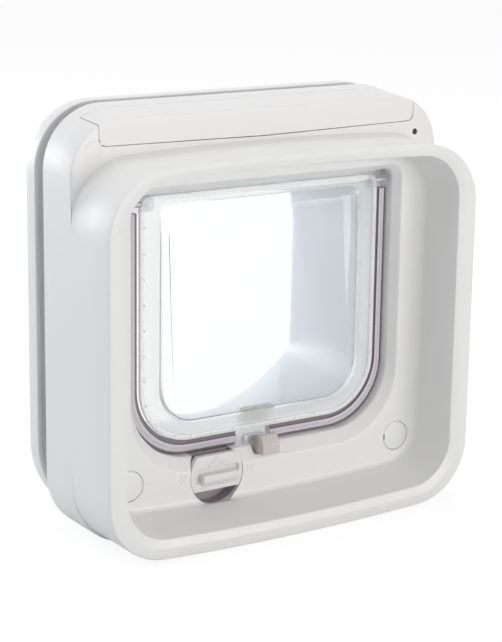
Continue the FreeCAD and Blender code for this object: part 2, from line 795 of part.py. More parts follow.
# ---- Magnet and its ribbed holder on the flap's foot ----
holder = new_body("magnet_holder")
holder_half = magnet_width * 0.9
holder_foot = pane_foot
holder_head = holder_foot + magnet_width
holder_depth = wall * 1.5
sk = facing(holder, pane_rear)
box(sk, -holder_half, holder_half, holder_foot, holder_head)
pad(holder, sk, holder_depth)
sk = facing(holder, pane_rear)
for step in (-1, 0, 1):
    middle = magnet_width * (0.5 * step)
    box(sk, middle - wall * 0.3, middle + wall * 0.3, holder_foot + wall * 2, holder_head - wall * 0.4)
pocket(holder, sk, wall * 0.25)
sk = level(holder, holder_foot)
magnet_front_y = pane_rear + wall * 0.45
magnet_rear_y = pane_rear + holder_depth - wall * 0.2
magnet_grip = magnet_width / 2
box(sk, -magnet_grip, magnet_grip, magnet_front_y, magnet_rear_y)
pocket(holder, sk, magnet_width * 0.7, backwards=True)
magnet = new_body("flap_magnet")
sk = level(magnet, holder_foot)
box(sk, -magnet_grip + shaft_gap, magnet_grip - shaft_gap, magnet_front_y + shaft_gap, magnet_rear_y - shaft_gap)
pad(magnet, sk, magnet_width * 0.69, backwards=False)
still = new_body("frame_magnet")
sk = facing(still, magnet_front + shaft_gap)
box(sk, zero - magnet_width * 0.9 + shaft_gap, magnet_width * 0.3 - shaft_gap, opening_foot - wall * 0.8,
    opening_foot + wall * 1.7)
pad(still, sk, magnet_depth - shaft_gap * 2)

# ---- Latch: ramped catch, neck, stem and plunger in one piece ----
latch = new_body("latch")
latch_front = fascia_depth - latch_reach
latch_back = fascia_depth + latch_reach * 0.67
stem_front = fascia_depth + wall + 1.5
stem_rear = slot_end - fit_gap * 1.3
neck_head = opening_foot - fit_gap
foot_head = coil_head + fit_gap + 3
foot_low = coil_head + fit_gap
foot_rear = hinge_depth + 6.5
sk = sideways(latch, -latch_width / 2)
polygon(sk, [
    (latch_front, latch_foot), (stem_front, latch_foot), (stem_front, foot_low), (foot_rear, foot_low),
    (foot_rear, foot_head), (stem_rear, foot_head), (stem_rear, neck_head), (latch_back, neck_head),
    (latch_back, latch_head), (latch_front + latch_reach * 0.85, latch_head),
    (latch_front, latch_head - latch_reach * 1.5),
])
pad(latch, sk, latch_width, backwards=False)
plunger_depth = hinge_depth + 4
plunger_radius = latch_width * 0.24
sk = level(latch, coil_foot + wall)
circle(sk, zero, plunger_depth, plunger_radius)
pad(latch, sk, foot_low - coil_foot - wall + 1, backwards=False)

# ---- Coil that lifts the latch ----
coil = new_body("latch_coil")
sk = level(coil, coil_foot)
box(sk, -coil_half, coil_half, coil_rear - wall * 4.3, coil_rear)
pad(coil, sk, coil_head - coil_foot, backwards=False)
sk = level(coil, coil_head)
circle(sk, zero, plunger_depth, plunger_radius + shaft_gap)
pocket(coil, sk, coil_head - coil_foot - wall * 0.6)
soften(coil, wall * 0.6, lambda b: b.ZLength > 10 and b.XLength < 0.01 and b.YLength < 0.01)

# ---- Turn lock: knob in front, cam behind, screw that joins them ----
knob = new_body("lock_knob")
knob_front = fascia_depth + fit_gap / 2
sk = facing(knob, knob_front)
circle(sk, -lock_side, lock_height, lock_radius)
pad(knob, sk, lock_plate)
sk = facing(knob, knob_front + lock_plate)
circle(sk, -lock_side, lock_height, lock_shaft)
pad(knob, sk, cam_front - knob_front - lock_plate)
sk = facing(knob, knob_front)
grip_half = lock_radius * 0.86
box(sk, -lock_side - grip_half, -lock_side + grip_half, lock_height - lock_radius * 0.36,
    lock_height + lock_radius * 0.04)
pad(knob, sk, wall, backwards=False)
grip_y = knob_front.value - wall.value
soften(knob, wall * 0.4, lambda b: b.YMax < grip_y + 0.01)
sk = facing(knob, knob_front - wall)
box(sk, -lock_side - lock_radius * 1.1, -lock_side + lock_radius * 1.1, lock_height + lock_flat_head,
    lock_height + lock_radius * 1.1)
pocket(knob, sk, lock_plate + wall)
sk = facing(knob, knob_front - wall)
box(sk, -lock_side - lock_radius * 1.1, -lock_side + lock_radius * 1.1, lock_height - lock_radius * 1.1,
    lock_height - lock_flat_foot)
pocket(knob, sk, lock_plate + wall)
sk = facing(knob, knob_front)
slot_hole = lock_radius * 0.84
box(sk, -lock_side - slot_hole, -lock_side + slot_hole, lock_height + lock_radius * 0.04,
    lock_height + lock_radius * 0.27)
pocket(knob, sk, lock_plate * 0.45)
sk = facing(knob, cam_front)
circle(sk, -lock_side, lock_height, screw_radius * 0.6)
pocket(knob, sk, wall * 3, backwards=True)

cam = new_body("lock_cam")
sk = facing(cam, cam_front)
circle(sk, -lock_side, lock_height, cam_radius)
pad(cam, sk, cam_thick)
sk = facing(cam, cam_front)
box(sk, -lock_side - cam_radius * 1.1, -lock_side + cam_radius * 1.1, lock_height + cam_flat,
    lock_height + cam_radius * 1.1)
pocket(cam, sk, cam_thick)
sk = facing(cam, cam_front)
box(sk, -lock_side + cam_flat, -lock_side + cam_radius * 1.1, lock_height - cam_radius * 1.1,
    lock_height + cam_radius * 1.1)
pocket(cam, sk, cam_thick)
sk = facing(cam, cam_front + cam_thick)
circle(sk, -lock_side, lock_height, lock_pivot)
pad(cam, sk, wall + fit_gap * 2)
sk = facing(cam, cam_front)
circle(sk, -lock_side, lock_height, screw_radius * 0.6)
pocket(cam, sk, cam_thick + wall * 2)

lock_screw = new_body("lock_screw")
cam_tail = cam_front + cam_thick + wall + fit_gap * 2
sk = facing(lock_screw, cam_front - wall * 2.8)
circle(sk, -lock_side, lock_height, screw_radius * 0.6)
pad(lock_screw, sk, cam_tail - cam_front + wall * 2.8)
sk = facing(lock_screw, cam_tail)
circle(sk, -lock_side, lock_height, screw_radius * 1.3)
pad(lock_screw, sk, wall * 0.6)

# ---- Round covers over the two lower fixing screws ----
covers = new_body("screw_covers")
sk = facing(covers, fascia_depth)
for side in (-screw_side, screw_side):
    circle(sk, side, screw_low, cover_radius)
pad(covers, sk, cover_thick)
cover_y = fascia_depth.value
soften(covers, wall * 0.16, lambda b: b.YMax < cover_y + 0.01, "PartDesign::Chamfer")

# ---- Long screws that clamp the exterior frame ----
screws = new_body("fixing_screws")
for seat, height in ((lower_seat, screw_low), (upper_seat, screw_high)):
    sk = facing(screws, seat - screw_head_thick)
    for side in (-screw_side, screw_side):
        circle(sk, side, height, screw_head)
    pad(screws, sk, screw_head_thick)
    sk = facing(screws, seat)
    for side in (-screw_side, screw_side):
        circle(sk, side, height, screw_radius)
    pad(screws, sk, frame_front + frame_depth - wall * 1.2 - seat)

# ---- Small screws that close the housing ----
case_screws = new_body("case_screws")
head_front = plate_front + wall * 0.4
sk = facing(case_screws, head_front)
for side in (-case_screw_side, case_screw_side):
    for height in (case_screw_low, case_screw_high):
        circle(sk, side, height, case_screw_radius * 2)
pad(case_screws, sk, wall * 0.5)
sk = facing(case_screws, head_front - wall * 5)
for side in (-case_screw_side, case_screw_side):
    for height in (case_screw_low, case_screw_high):
        circle(sk, side, height, case_screw_radius)
pad(case_screws, sk, wall * 5)

# ---- Battery lid: front wall and sloping top cut from the body's own outline ----
lid = new_body("battery_cover")
loft(lid, [body_outline(lid, body_front, zero), body_outline(lid, body_rear, zero)])
loft(lid, [body_outline(lid, body_front + lid_wall, lid_wall), body_outline(lid, body_rear, lid_wall)], adds=False)
sk = facing(lid, body_front - wall)
polygon(sk, [
    (-unit_width, -wall), (unit_width, -wall), (unit_width, lid_foot + 1 + fit_gap),
    (lid_half, lid_foot + 1 + fit_gap), (zero, lid_foot), (-lid_half, lid_foot + 1 + fit_gap),
    (-unit_width, lid_foot + 1 + fit_gap),
])
pocket(lid, sk, body_depth + wall * 2)
for sign in (-1, 1):
    sk = facing(lid, body_front - wall)
    if sign > 0:
        box(sk, lid_half, unit_width, lid_foot - wall, unit_height + wall)
    else:
        box(sk, -unit_width, -lid_half, lid_foot - wall, unit_height + wall)
    pocket(lid, sk, body_depth + wall * 2)
sk = facing(lid, body_front + lid_depth)
box(sk, -unit_width, unit_width, lid_foot - wall, unit_height + wall)
pocket(lid, sk, body_depth)
# stiffening ribs under the lid's top, clear of the cells
sk = facing(lid, body_front + lid_wall / 2)
for side in (-1, 1):
    middle = tray_middle * (0.8 * side)
    box(sk, middle - wall * 0.3, middle + wall * 0.3, lid_foot + wall, brow_height - lid_wall / 2)
pad(lid, sk, lid_depth - lid_wall)

# ---- Battery tray with two double bays ----
tray = new_body("battery_tray")
tray_foot = opening_head + wall + fit_gap
tray_front = body_front + wall + fit_gap
bay_width = cell_radius * 2 + fit_gap / 3
bay_front = tray_front + tray_wall
bay_rear = bay_front + bay_width
tray_rear = bay_rear + tray_wall
bay_floor = tray_foot + tray_floor
tray_head = bay_floor + cell_radius * 2
sk = level(tray, tray_foot)
box(sk, -tray_half - tray_wall, tray_half + tray_wall, tray_front, tray_rear)
pad(tray, sk, tray_head - tray_foot, backwards=False)
sk = level(tray, tray_head)
box(sk, -tray_half, -tray_middle, bay_front, bay_rear)
box(sk, tray_middle, tray_half, bay_front, bay_rear)
pocket(tray, sk, tray_head - bay_floor)
sk = level(tray, tray_head - fit_gap)
for edge in (-tray_half - tray_wall, -tray_middle, tray_middle - tray_wall, tray_half):
    box(sk, edge, edge + tray_wall, bay_front + wall * 0.8, bay_rear - wall * 0.8)
pad(tray, sk, cell_radius * 1.6, backwards=False)
button_foot = tray_head - wall * 1.7
button_middle = (bay_front + bay_rear) / 2
sk = level(tray, tray_head)
circle(sk, -button_side, button_middle, button_radius + shaft_gap)
pocket(tray, sk, wall * 2.2)

# ---- Cells, in two stacked pairs ----
cells = new_body("battery_cells")
contact = fit_gap * 1.6
cell_start = tray_half - contact - cell_length
for sign in (-1, 1):
    for row in (1, 3):
        height = bay_floor + cell_radius * row
        sk = sideways(cells, cell_start if sign > 0 else -cell_start)
        circle(sk, button_middle, height, cell_radius - shaft_gap)
        pad(cells, sk, cell_length - 1, backwards=sign < 0)
        nub = cell_start + cell_length - 1
        sk = sideways(cells, nub if sign > 0 else -nub)
        circle(sk, button_middle, height, cell_radius * 0.38)
        pad(cells, sk, Dim(1.0, "1"), backwards=sign < 0)

# ---- Contact plates and springs at the ends of the cells ----
contacts = new_body("battery_contacts")
for sign in (-1, 1):
    outer = tray_half - contact
    sk = sideways(contacts, outer if sign > 0 else -outer)
    box(sk, bay_front + wall, bay_rear - wall, bay_floor + wall, bay_floor + cell_radius * 3.6)
    pad(contacts, sk, contact, backwards=sign < 0)
    for row in (1, 3):
        height = bay_floor + cell_radius * row
        sk = sideways(contacts, tray_middle if sign > 0 else -tray_middle)
        grip = cell_radius * 0.72
        box(sk, button_middle - grip, button_middle + grip, height - grip, height + grip)
        pad(contacts, sk, contact, backwards=sign < 0)
        spring = tray_middle + contact
        sk = sideways(contacts, spring if sign > 0 else -spring)
        circle(sk, button_middle, height, cell_radius * 0.45)
        pad(contacts, sk, cell_start - tray_middle - contact, backwards=sign < 0)

# ---- Control board and what is soldered to it ----
board = new_body("control_board")
board_half = tray_middle * 1.6
board_foot = tray_foot + wall
board_top = screw_high + wall * 1.6
sk = facing(board, board_front)
box(sk, -board_half, board_half, board_foot, board_top)
pad(board, sk, board_rear - board_front)
parts = new_body("board_parts")
sk = facing(parts, board_rear)
box(sk, -wall * 2, wall * 2, post_height - wall * 2, post_height + wall * 2)
box(sk, wall * 4, wall * 6.4, board_foot + wall, board_foot + wall * 2.6)
box(sk, -wall * 6, -wall * 4, board_foot + wall, board_foot + wall * 3)
circle(sk, wall * 5, post_height + wall * 1.2, wall)
pad(parts, sk, wall * 0.7)

# ---- Reader coil wound round the tunnel, against the rear plate ----
antenna = new_body("antenna_coil")
antenna_length = body_depth * 0.36
antenna_front = plate_front - fit_gap - antenna_length
antenna_rear = antenna_front + antenna_length
loft(antenna, [
    tunnel_outline(antenna, antenna_front, tunnel_wall + fit_gap + wall),
    tunnel_outline(antenna, antenna_rear, tunnel_wall + fit_gap + wall),
])
loft(antenna, [
    tunnel_outline(antenna, antenna_front, tunnel_wall + fit_gap),
    tunnel_outline(antenna, antenna_rear, tunnel_wall + fit_gap),
], adds=False)

# ---- Light guide and set-up button ----
led = new_body("led_lens")
sk = facing(led, body_front + wall * 0.2)
circle(sk, led_side, led_height, led_radius - shaft_gap)
pad(led, sk, wall * 1.6)
button = new_body("setup_button")
sk = level(button, button_foot)
circle(sk, -button_side, button_middle, button_radius)
pad(button, sk, wall * 2.7, backwards=False)

doc.recompute()
nodes = [case, rear, frame, flap, seal, pins, holder, magnet, still, latch, coil, knob, cam, lock_screw,
         covers, screws, case_screws, lid, tray, cells, contacts, board, parts, antenna, led, button]
for node in nodes:
    node.setExpression("Placement.Base.y", "0 - " + (tunnel_end / 2).text)
doc.recompute()
for item in doc.Objects:
    if "Invalid" in item.State or "Error" in item.State:
        raise RuntimeError(item.Name + " failed: " + str(item.State))
for node in nodes:
    if node.Shape.isNull() or not node.Shape.isValid():
        raise RuntimeError(node.Label + " has no valid shape")
os.makedirs("parts", exist_ok=True)
for node in nodes:
    node.Shape.exportStep("parts/" + node.Label + ".step")
    print(node.Label, len(node.Shape.Solids), round(node.Shape.Volume), node.Shape.BoundBox)
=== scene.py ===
# %% [markdown]
# # A chip-reading cat flap
# The indoor unit is a deep white housing: an arched collar in front, a thicker body behind it with a battery
# bay on top, and a flat outside frame that clamps the door from the far side. A clear flap swings in the middle.
# The imported model gives every size, so the first cell loads it.

# %% Load the imported model
import bpy
import bmesh
import math
import numpy as np
from mathutils import Matrix, Vector


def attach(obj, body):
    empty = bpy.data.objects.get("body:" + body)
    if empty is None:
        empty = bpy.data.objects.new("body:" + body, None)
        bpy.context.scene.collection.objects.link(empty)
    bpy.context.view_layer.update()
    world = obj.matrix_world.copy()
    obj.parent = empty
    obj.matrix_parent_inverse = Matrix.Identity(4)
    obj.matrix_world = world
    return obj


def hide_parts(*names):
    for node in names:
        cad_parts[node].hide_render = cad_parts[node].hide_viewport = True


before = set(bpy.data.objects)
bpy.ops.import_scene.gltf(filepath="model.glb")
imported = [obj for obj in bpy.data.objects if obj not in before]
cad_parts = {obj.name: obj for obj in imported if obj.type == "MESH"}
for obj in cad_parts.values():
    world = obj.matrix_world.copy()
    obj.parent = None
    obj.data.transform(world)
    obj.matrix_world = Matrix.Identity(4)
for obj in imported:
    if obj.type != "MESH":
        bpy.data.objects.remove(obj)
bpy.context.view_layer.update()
scene = bpy.context.scene

# %% [markdown]
# ## Camera and light
# A product photograph like this one uses a long lens and a big soft light, so that white plastic keeps its
# shading. The camera is turned with a matrix of its right, up and backward directions.

# %% Camera
AZIMUTH, ELEVATION, ROLL = math.radians(-33.484), math.radians(14.189), math.radians(0.836)
FOCAL_PIXELS, PICTURE_HEIGHT, SENSOR = 1926.57, 642, 36
DISTANCE, SHIFT_RIGHT, SHIFT_UP = 0.9525, -0.00234, -0.00546
level_length = math.cos(ELEVATION)
back = Vector((math.sin(AZIMUTH) * level_length, -math.cos(AZIMUTH) * level_length, math.sin(ELEVATION)))
right = Vector((math.cos(AZIMUTH), math.sin(AZIMUTH), 0))
up = back.cross(right)
aim = Vector((0, -0.018, 0.105)) + right * SHIFT_RIGHT + up * SHIFT_UP
across = right * math.cos(ROLL) + up * math.sin(ROLL)
upward = up * math.cos(ROLL) - right * math.sin(ROLL)
camera_data = bpy.data.cameras.new("camera")
camera_data.sensor_width = SENSOR
camera_data.lens = FOCAL_PIXELS * SENSOR / PICTURE_HEIGHT
camera_data.clip_start, camera_data.clip_end = 0.01, 20
camera = bpy.data.objects.new("camera", camera_data)
turn = Matrix((across, upward, back)).transposed().to_4x4()
camera.matrix_world = Matrix.Translation(aim + back * DISTANCE) @ turn
scene.collection.objects.link(camera)
scene.camera = camera
scene.view_settings.view_transform = "Standard"
print("lens %.1f mm" % camera_data.lens)

# %% [markdown]
# ## Lamps, floor and background
# White on white is only readable where the light differs from side to side, so the front gets a slightly warm
# lamp, the left and the rear get slightly cool ones, and one high above lights the ledges. The background is
# white by its colour, and not by more light: rays from the camera, through clear plastic or off a gloss see
# plain white, and all others a soft lavender grey at half strength. The floor is mixed in the same way and still
# takes the shadow.


# %% Lamps, floor and background
def softbox(name, place, size, power, colour):
    """Rectangular lamp turned to the middle of the part."""
    lamp = bpy.data.lights.new(name, "AREA")
    lamp.shape = "RECTANGLE"
    lamp.size, lamp.size_y = size
    lamp.energy = power
    lamp.color = colour
    box = bpy.data.objects.new(name, lamp)
    box.location = place
    box.rotation_euler = (Vector((0, 0, 0.1)) - Vector(place)).to_track_quat("-Z", "Y").to_euler()
    scene.collection.objects.link(box)


softbox("front_light", (0.5, -1.7, 0.2), (1.2, 1.0), 16.5, (1.0, 1.0, 0.965))
softbox("upper_left_light", (-1.25, 0.15, 1.35), (1.1, 0.8), 6.5, (0.92, 0.98, 1.0))
softbox("top_light", (0.1, 0.45, 1.8), (1.2, 1.2), 9.0, (1.0, 1.0, 0.985))
softbox("rear_light", (-0.6, 1.6, 0.15), (1.2, 1.0), 13, (0.94, 0.98, 1.0))


def either(tree, one, other):
    """Socket that is 1 where either of two sockets is."""
    node = tree.nodes.new("ShaderNodeMath")
    node.operation = "MAXIMUM"
    tree.links.new(one, node.inputs[0])
    tree.links.new(other, node.inputs[1])
    return node.outputs[0]


def mixed(tree, share, one, other, result):
    """Two shaders mixed by a share and led into the result's surface."""
    mix = tree.nodes.new("ShaderNodeMixShader")
    tree.links.new(share, mix.inputs[0])
    tree.links.new(one.outputs[0], mix.inputs[1])
    tree.links.new(other.outputs[0], mix.inputs[2])
    tree.links.new(mix.outputs[0], tree.nodes.new(result).inputs["Surface"])


def white_world():
    """Plain white to the camera, through clear plastic and in reflections; soft light for everything else."""
    world = bpy.data.worlds.new("studio")
    world.use_nodes = True
    tree = world.node_tree
    tree.nodes.clear()
    path = tree.nodes.new("ShaderNodeLightPath").outputs
    soft = tree.nodes.new("ShaderNodeBackground")
    soft.inputs["Color"].default_value = (0.985, 0.93, 1.0, 1)
    soft.inputs["Strength"].default_value = 0.5
    white = tree.nodes.new("ShaderNodeBackground")
    white.inputs["Color"].default_value = (1, 1, 1, 1)
    white.inputs["Strength"].default_value = 1
    seen = either(tree, path["Is Camera Ray"], either(tree, path["Is Transmission Ray"], path["Is Glossy Ray"]))
    mixed(tree, seen, soft, white, "ShaderNodeOutputWorld")
    scene.world = world


def pale_floor(half_width=6, glow_strength=1.1, glow_share=0.8):
    """Floor that takes the part's shadow; to the camera it is nearly the background's white."""
    mesh = bpy.data.meshes.new("floor")
    corners = [(x * half_width, y * half_width, 0) for x, y in ((-1, -1), (1, -1), (1, 1), (-1, 1))]
    mesh.from_pydata(corners, [], [(0, 1, 2, 3)])
    floor = bpy.data.objects.new("floor", mesh)
    scene.collection.objects.link(floor)
    material = bpy.data.materials.new("floor_paint")
    material.use_nodes = True
    tree = material.node_tree
    tree.nodes.clear()
    paint = tree.nodes.new("ShaderNodeBsdfDiffuse")
    paint.inputs["Color"].default_value = (0.82, 0.83, 0.84, 1)
    glow = tree.nodes.new("ShaderNodeEmission")
    glow.inputs["Strength"].default_value = glow_strength
    path = tree.nodes.new("ShaderNodeLightPath").outputs
    share = tree.nodes.new("ShaderNodeMath")
    share.operation = "MULTIPLY"
    share.inputs[1].default_value = glow_share
    tree.links.new(either(tree, path["Is Camera Ray"], path["Is Transmission Ray"]), share.inputs[0])
    mixed(tree, share.outputs[0], paint, glow, "ShaderNodeOutputMaterial")
    mesh.materials.append(material)


white_world()
pale_floor()
print("lamps:", len(bpy.data.lights))

# %% [markdown]
# ## Finishes
# Moulded plastic is never one flat colour: it has a very fine matt grain, a slightly uneven sheen and a faint
# change of tone. One helper makes that from noise on Object coordinates, and each finish passes its own numbers.


# %% Plastic and metal finishes
BROAD_SCALE, FINE_SCALE, SHEEN_SPREAD, GRAIN_HEIGHT = 14, 1000, 0.06, 0.0002


def moulded(name, colour, rough=0.38, depth=0.04, drift=0.02, metal=0.0, coat=0.0, stretch=(1, 1, 1)):
    """Finish with broad drifts of tone and sheen, and a fine grain as bump."""
    material = bpy.data.materials.new(name)
    material.use_nodes = True
    nodes, links = material.node_tree.nodes, material.node_tree.links
    skin = nodes["Principled BSDF"]
    place = nodes.new("ShaderNodeTexCoord")
    spread = nodes.new("ShaderNodeMapping")
    spread.inputs["Scale"].default_value = stretch
    links.new(place.outputs["Object"], spread.inputs["Vector"])
    broad = nodes.new("ShaderNodeTexNoise")
    broad.inputs["Scale"].default_value = BROAD_SCALE
    broad.inputs["Detail"].default_value = 3
    links.new(spread.outputs[0], broad.inputs["Vector"])
    tone = nodes.new("ShaderNodeMix")
    tone.data_type = "RGBA"
    tone.inputs["A"].default_value = (*[c * (1 - drift) for c in colour], 1)
    tone.inputs["B"].default_value = (*[min(1, c * (1 + drift)) for c in colour], 1)
    links.new(broad.outputs["Fac"], tone.inputs["Factor"])
    links.new(tone.outputs["Result"], skin.inputs["Base Color"])
    sheen = nodes.new("ShaderNodeMapRange")
    sheen.inputs["To Min"].default_value = rough - SHEEN_SPREAD
    sheen.inputs["To Max"].default_value = rough + SHEEN_SPREAD
    links.new(broad.outputs["Fac"], sheen.inputs["Value"])
    links.new(sheen.outputs[0], skin.inputs["Roughness"])
    fine = nodes.new("ShaderNodeTexNoise")
    fine.inputs["Scale"].default_value = FINE_SCALE
    fine.inputs["Detail"].default_value = 2
    links.new(spread.outputs[0], fine.inputs["Vector"])
    bump = nodes.new("ShaderNodeBump")
    bump.inputs["Strength"].default_value = depth
    bump.inputs["Distance"].default_value = GRAIN_HEIGHT
    links.new(fine.outputs["Fac"], bump.inputs["Height"])
    links.new(bump.outputs[0], skin.inputs["Normal"])
    skin.inputs["Metallic"].default_value = metal
    skin.inputs["Coat Weight"].default_value = coat
    return material


def srgb(r, g, b):
    """Linear colour of a display colour from 0 to 255."""
    return tuple(((c / 255 + 0.055) / 1.055) ** 2.4 for c in (r, g, b))


white_plastic = moulded("white_plastic", srgb(232, 233, 230), rough=0.33)
tunnel_plastic = moulded("tunnel_plastic", srgb(243, 246, 248), rough=0.4)
knob_plastic = moulded("knob_plastic", srgb(228, 228, 224), rough=0.34)
latch_plastic = moulded("latch_plastic", srgb(204, 198, 192), rough=0.42)
seal_plastic = moulded("seal_plastic", srgb(206, 202, 208), rough=0.45, drift=0.05)
# Darker grey for the seal's channel faces: painted shade of the deep slot round the flap.
seal_painted_shade = moulded("seal_painted_shade", srgb(132, 124, 130), rough=0.6, drift=0.05)
steel = moulded("steel", srgb(176, 176, 178), rough=0.3, metal=1.0, depth=0.08, drift=0.06)
nickel = moulded("nickel", srgb(214, 210, 214), rough=0.42, metal=0.6)
copper = moulded("copper", srgb(176, 108, 70), rough=0.3, metal=1.0, drift=0.1, stretch=(1, 30, 1))
black_tape = moulded("black_tape", srgb(38, 38, 42), rough=0.5, drift=0.1)
cell_wrap = moulded("cell_wrap", srgb(52, 55, 62), rough=0.25, coat=0.3)
board_green = moulded("board_green", srgb(28, 92, 52), rough=0.35, drift=0.12)
chip_black = moulded("chip_black", srgb(30, 30, 32), rough=0.55)
smoked = moulded("smoked_lens", srgb(52, 46, 44), rough=0.2)
button_plastic = moulded("button_plastic", srgb(92, 96, 104), rough=0.4)


def clear(name, colour, rough, veil=0.0):
    """Clear moulding. With a veil it turns milky: that share of the light meets a white satin surface."""
    material = moulded(name, colour, rough=rough + SHEEN_SPREAD, depth=0.01, drift=0.01)
    nodes, links = material.node_tree.nodes, material.node_tree.links
    skin = nodes["Principled BSDF"]
    if not veil:
        skin.inputs["Transmission Weight"].default_value = 1
        skin.inputs["IOR"].default_value = 1.45
        return material
    through = nodes.new("ShaderNodeBsdfTransparent")
    through.inputs["Color"].default_value = (0.99, 0.995, 0.995, 1)
    mix = nodes.new("ShaderNodeMixShader")
    mix.inputs["Fac"].default_value = veil
    links.new(through.outputs[0], mix.inputs[1])
    links.new(skin.outputs[0], mix.inputs[2])
    links.new(mix.outputs[0], nodes["Material Output"].inputs["Surface"])
    return material


pane_plastic = clear("pane_plastic", srgb(252, 254, 255), 0.0)
border_plastic = clear("border_plastic", srgb(244, 247, 243), 0.16, 0.3)
# Nearly opaque white strip along the flap's edge: painted highlight, added to the real highlights of the bead's
# ridge.
bead_painted_highlight = clear("bead_painted_highlight", srgb(252, 253, 252), 0.1, 0.7)
knuckle_plastic = clear("knuckle_plastic", srgb(226, 224, 232), 0.16, 0.25)
ribbed_plastic = clear("ribbed_plastic", srgb(226, 225, 220), 0.2, 0.6)
# Darker lavender grey for the insides of the recesses: painted shade.
recess_painted_shade = moulded("recess_painted_shade", srgb(172, 164, 172), rough=0.5)
# Opaque white for the clear flap's pips, so they show as bright dots: painted glints on real bumps.
pip_painted_glint = moulded("pip_painted_glint", srgb(250, 250, 250), rough=0.16)
print("finishes:", len(bpy.data.materials))

# %% [markdown]
# ## Outlines as rings
# Nearly every section of the housing is a rectangle with round corners whose foot and head may bulge on a large
# arc. If each section has the same number of points, a skin can be stretched from one to the next, and a small
# quarter circle of extra sections gives every edge its soft radius. That is why rings were chosen over boxes
# with modifiers. Lengths are in millimetres from the collar's rim, and turned to metres at the end.

# %% Ring helper
CORNER, STRAIGHT = 14, 18
HALF, REAR_SHIFT = 105.0, 58.0
SHARP_ANGLE = math.radians(32)


def outline(side, foot, head, r_foot, r_head, crown=None, arch=None):
    """Points (x, z) anticlockwise from the foot's left end, the same number whatever the shape."""
    lean_foot = lean_head = 0.0
    centre_foot, centre_head = foot + r_foot, head - r_head
    if crown:
        centre_foot = foot + crown - math.sqrt((crown - r_foot) ** 2 - (side - r_foot) ** 2)
        lean_foot = math.asin((side - r_foot) / (crown - r_foot))
    if arch:
        centre_head = head - arch + math.sqrt((arch - r_head) ** 2 - (side - r_head) ** 2)
        lean_head = math.asin((side - r_head) / (arch - r_head))
    points = []
    quarter = math.pi / 2
    for j in range(STRAIGHT):
        t = j / STRAIGHT
        if crown:
            a = lean_foot * (2 * t - 1)
            points.append((crown * math.sin(a), foot + crown - crown * math.cos(a)))
        else:
            points.append(((side - r_foot) * (2 * t - 1), foot))
    for j in range(CORNER):
        a = -quarter + lean_foot + (quarter - lean_foot) * j / CORNER
        points.append((side - r_foot + r_foot * math.cos(a), centre_foot + r_foot * math.sin(a)))
    for j in range(STRAIGHT):
        points.append((side, centre_foot + (centre_head - centre_foot) * j / STRAIGHT))
    for j in range(CORNER):
        a = (quarter - lean_head) * j / CORNER
        points.append((side - r_head + r_head * math.cos(a), centre_head + r_head * math.sin(a)))
    for j in range(STRAIGHT):
        t = j / STRAIGHT
        if arch:
            a = lean_head * (1 - 2 * t)
            points.append((arch * math.sin(a), head - arch + arch * math.cos(a)))
        else:
            points.append(((side - r_head) * (1 - 2 * t), head))
    for j in range(CORNER):
        a = quarter + lean_head + (quarter - lean_head) * j / CORNER
        points.append((-side + r_head + r_head * math.cos(a), centre_head + r_head * math.sin(a)))
    for j in range(STRAIGHT):
        points.append((-side, centre_head + (centre_foot - centre_head) * j / STRAIGHT))
    for j in range(CORNER):
        a = 2 * quarter + (quarter - lean_foot) * j / CORNER
        points.append((-side + r_foot + r_foot * math.cos(a), centre_foot + r_foot * math.sin(a)))
    return np.array(points)


COUNT = 4 * (CORNER + STRAIGHT)
on_side = np.zeros(COUNT, bool)
on_side[STRAIGHT + CORNER:2 * STRAIGHT + CORNER] = True
on_side[3 * STRAIGHT + 3 * CORNER:4 * STRAIGHT + 3 * CORNER] = True


def normals(ring):
    """Outward direction of the outline at each of its points."""
    along = np.roll(ring, -1, 0) - np.roll(ring, 1, 0)
    out = np.stack([along[:, 1], -along[:, 0]], 1)
    return out / np.linalg.norm(out, axis=1)[:, None]


def at(ring, y):
    """Section placed at one depth, or at a depth for each of its points."""
    return np.stack([ring[:, 0], np.broadcast_to(y, (len(ring),)), ring[:, 1]], 1)


def grown(ring, amount):
    """Outline moved outwards by an amount, or by an amount for each of its points."""
    return ring + normals(ring) * np.broadcast_to(amount, (len(ring),))[:, None]


def arc(*degrees):
    """Cosine and sine of each angle, for the sections of a quarter round."""
    return [(math.cos(math.radians(angle)), math.sin(math.radians(angle))) for angle in degrees]


def solid(name, points_and_faces, material, smooth=32):
    """Closed piece from points in millimetres and faces, with sharp edges past the smooth angle."""
    points, faces = points_and_faces
    mesh = bpy.data.meshes.new(name)
    placed = (np.array(points, float) - (0, REAR_SHIFT, 0)) / 1000
    mesh.from_pydata(placed.tolist(), [], faces)
    mesh.validate()
    mesh.materials.append(material)
    shape = bmesh.new()
    shape.from_mesh(mesh)
    bmesh.ops.remove_doubles(shape, verts=shape.verts, dist=1e-6)
    bmesh.ops.recalc_face_normals(shape, faces=shape.faces)
    shape.to_mesh(mesh)
    shape.free()
    mesh.shade_smooth()
    mesh.set_sharp_from_angle(angle=math.radians(smooth))
    piece = bpy.data.objects.new(name, mesh)
    scene.collection.objects.link(piece)
    return piece


def skin(rings, loop=False):
    """Faces that join the rings one after another; the ends are closed, or the last joins the first."""
    n = len(rings[0])
    points = np.concatenate(rings)
    faces = []
    last = len(rings) if loop else len(rings) - 1
    for k in range(last):
        a, b = k * n, ((k + 1) % len(rings)) * n
        for j in range(n):
            i = (j + 1) % n
            faces.append((a + j, a + i, b + i, b + j))
    if not loop:
        faces.append(tuple(range(n)))
        faces.append(tuple(range(len(points) - n, len(points)))[::-1])
    return points, faces


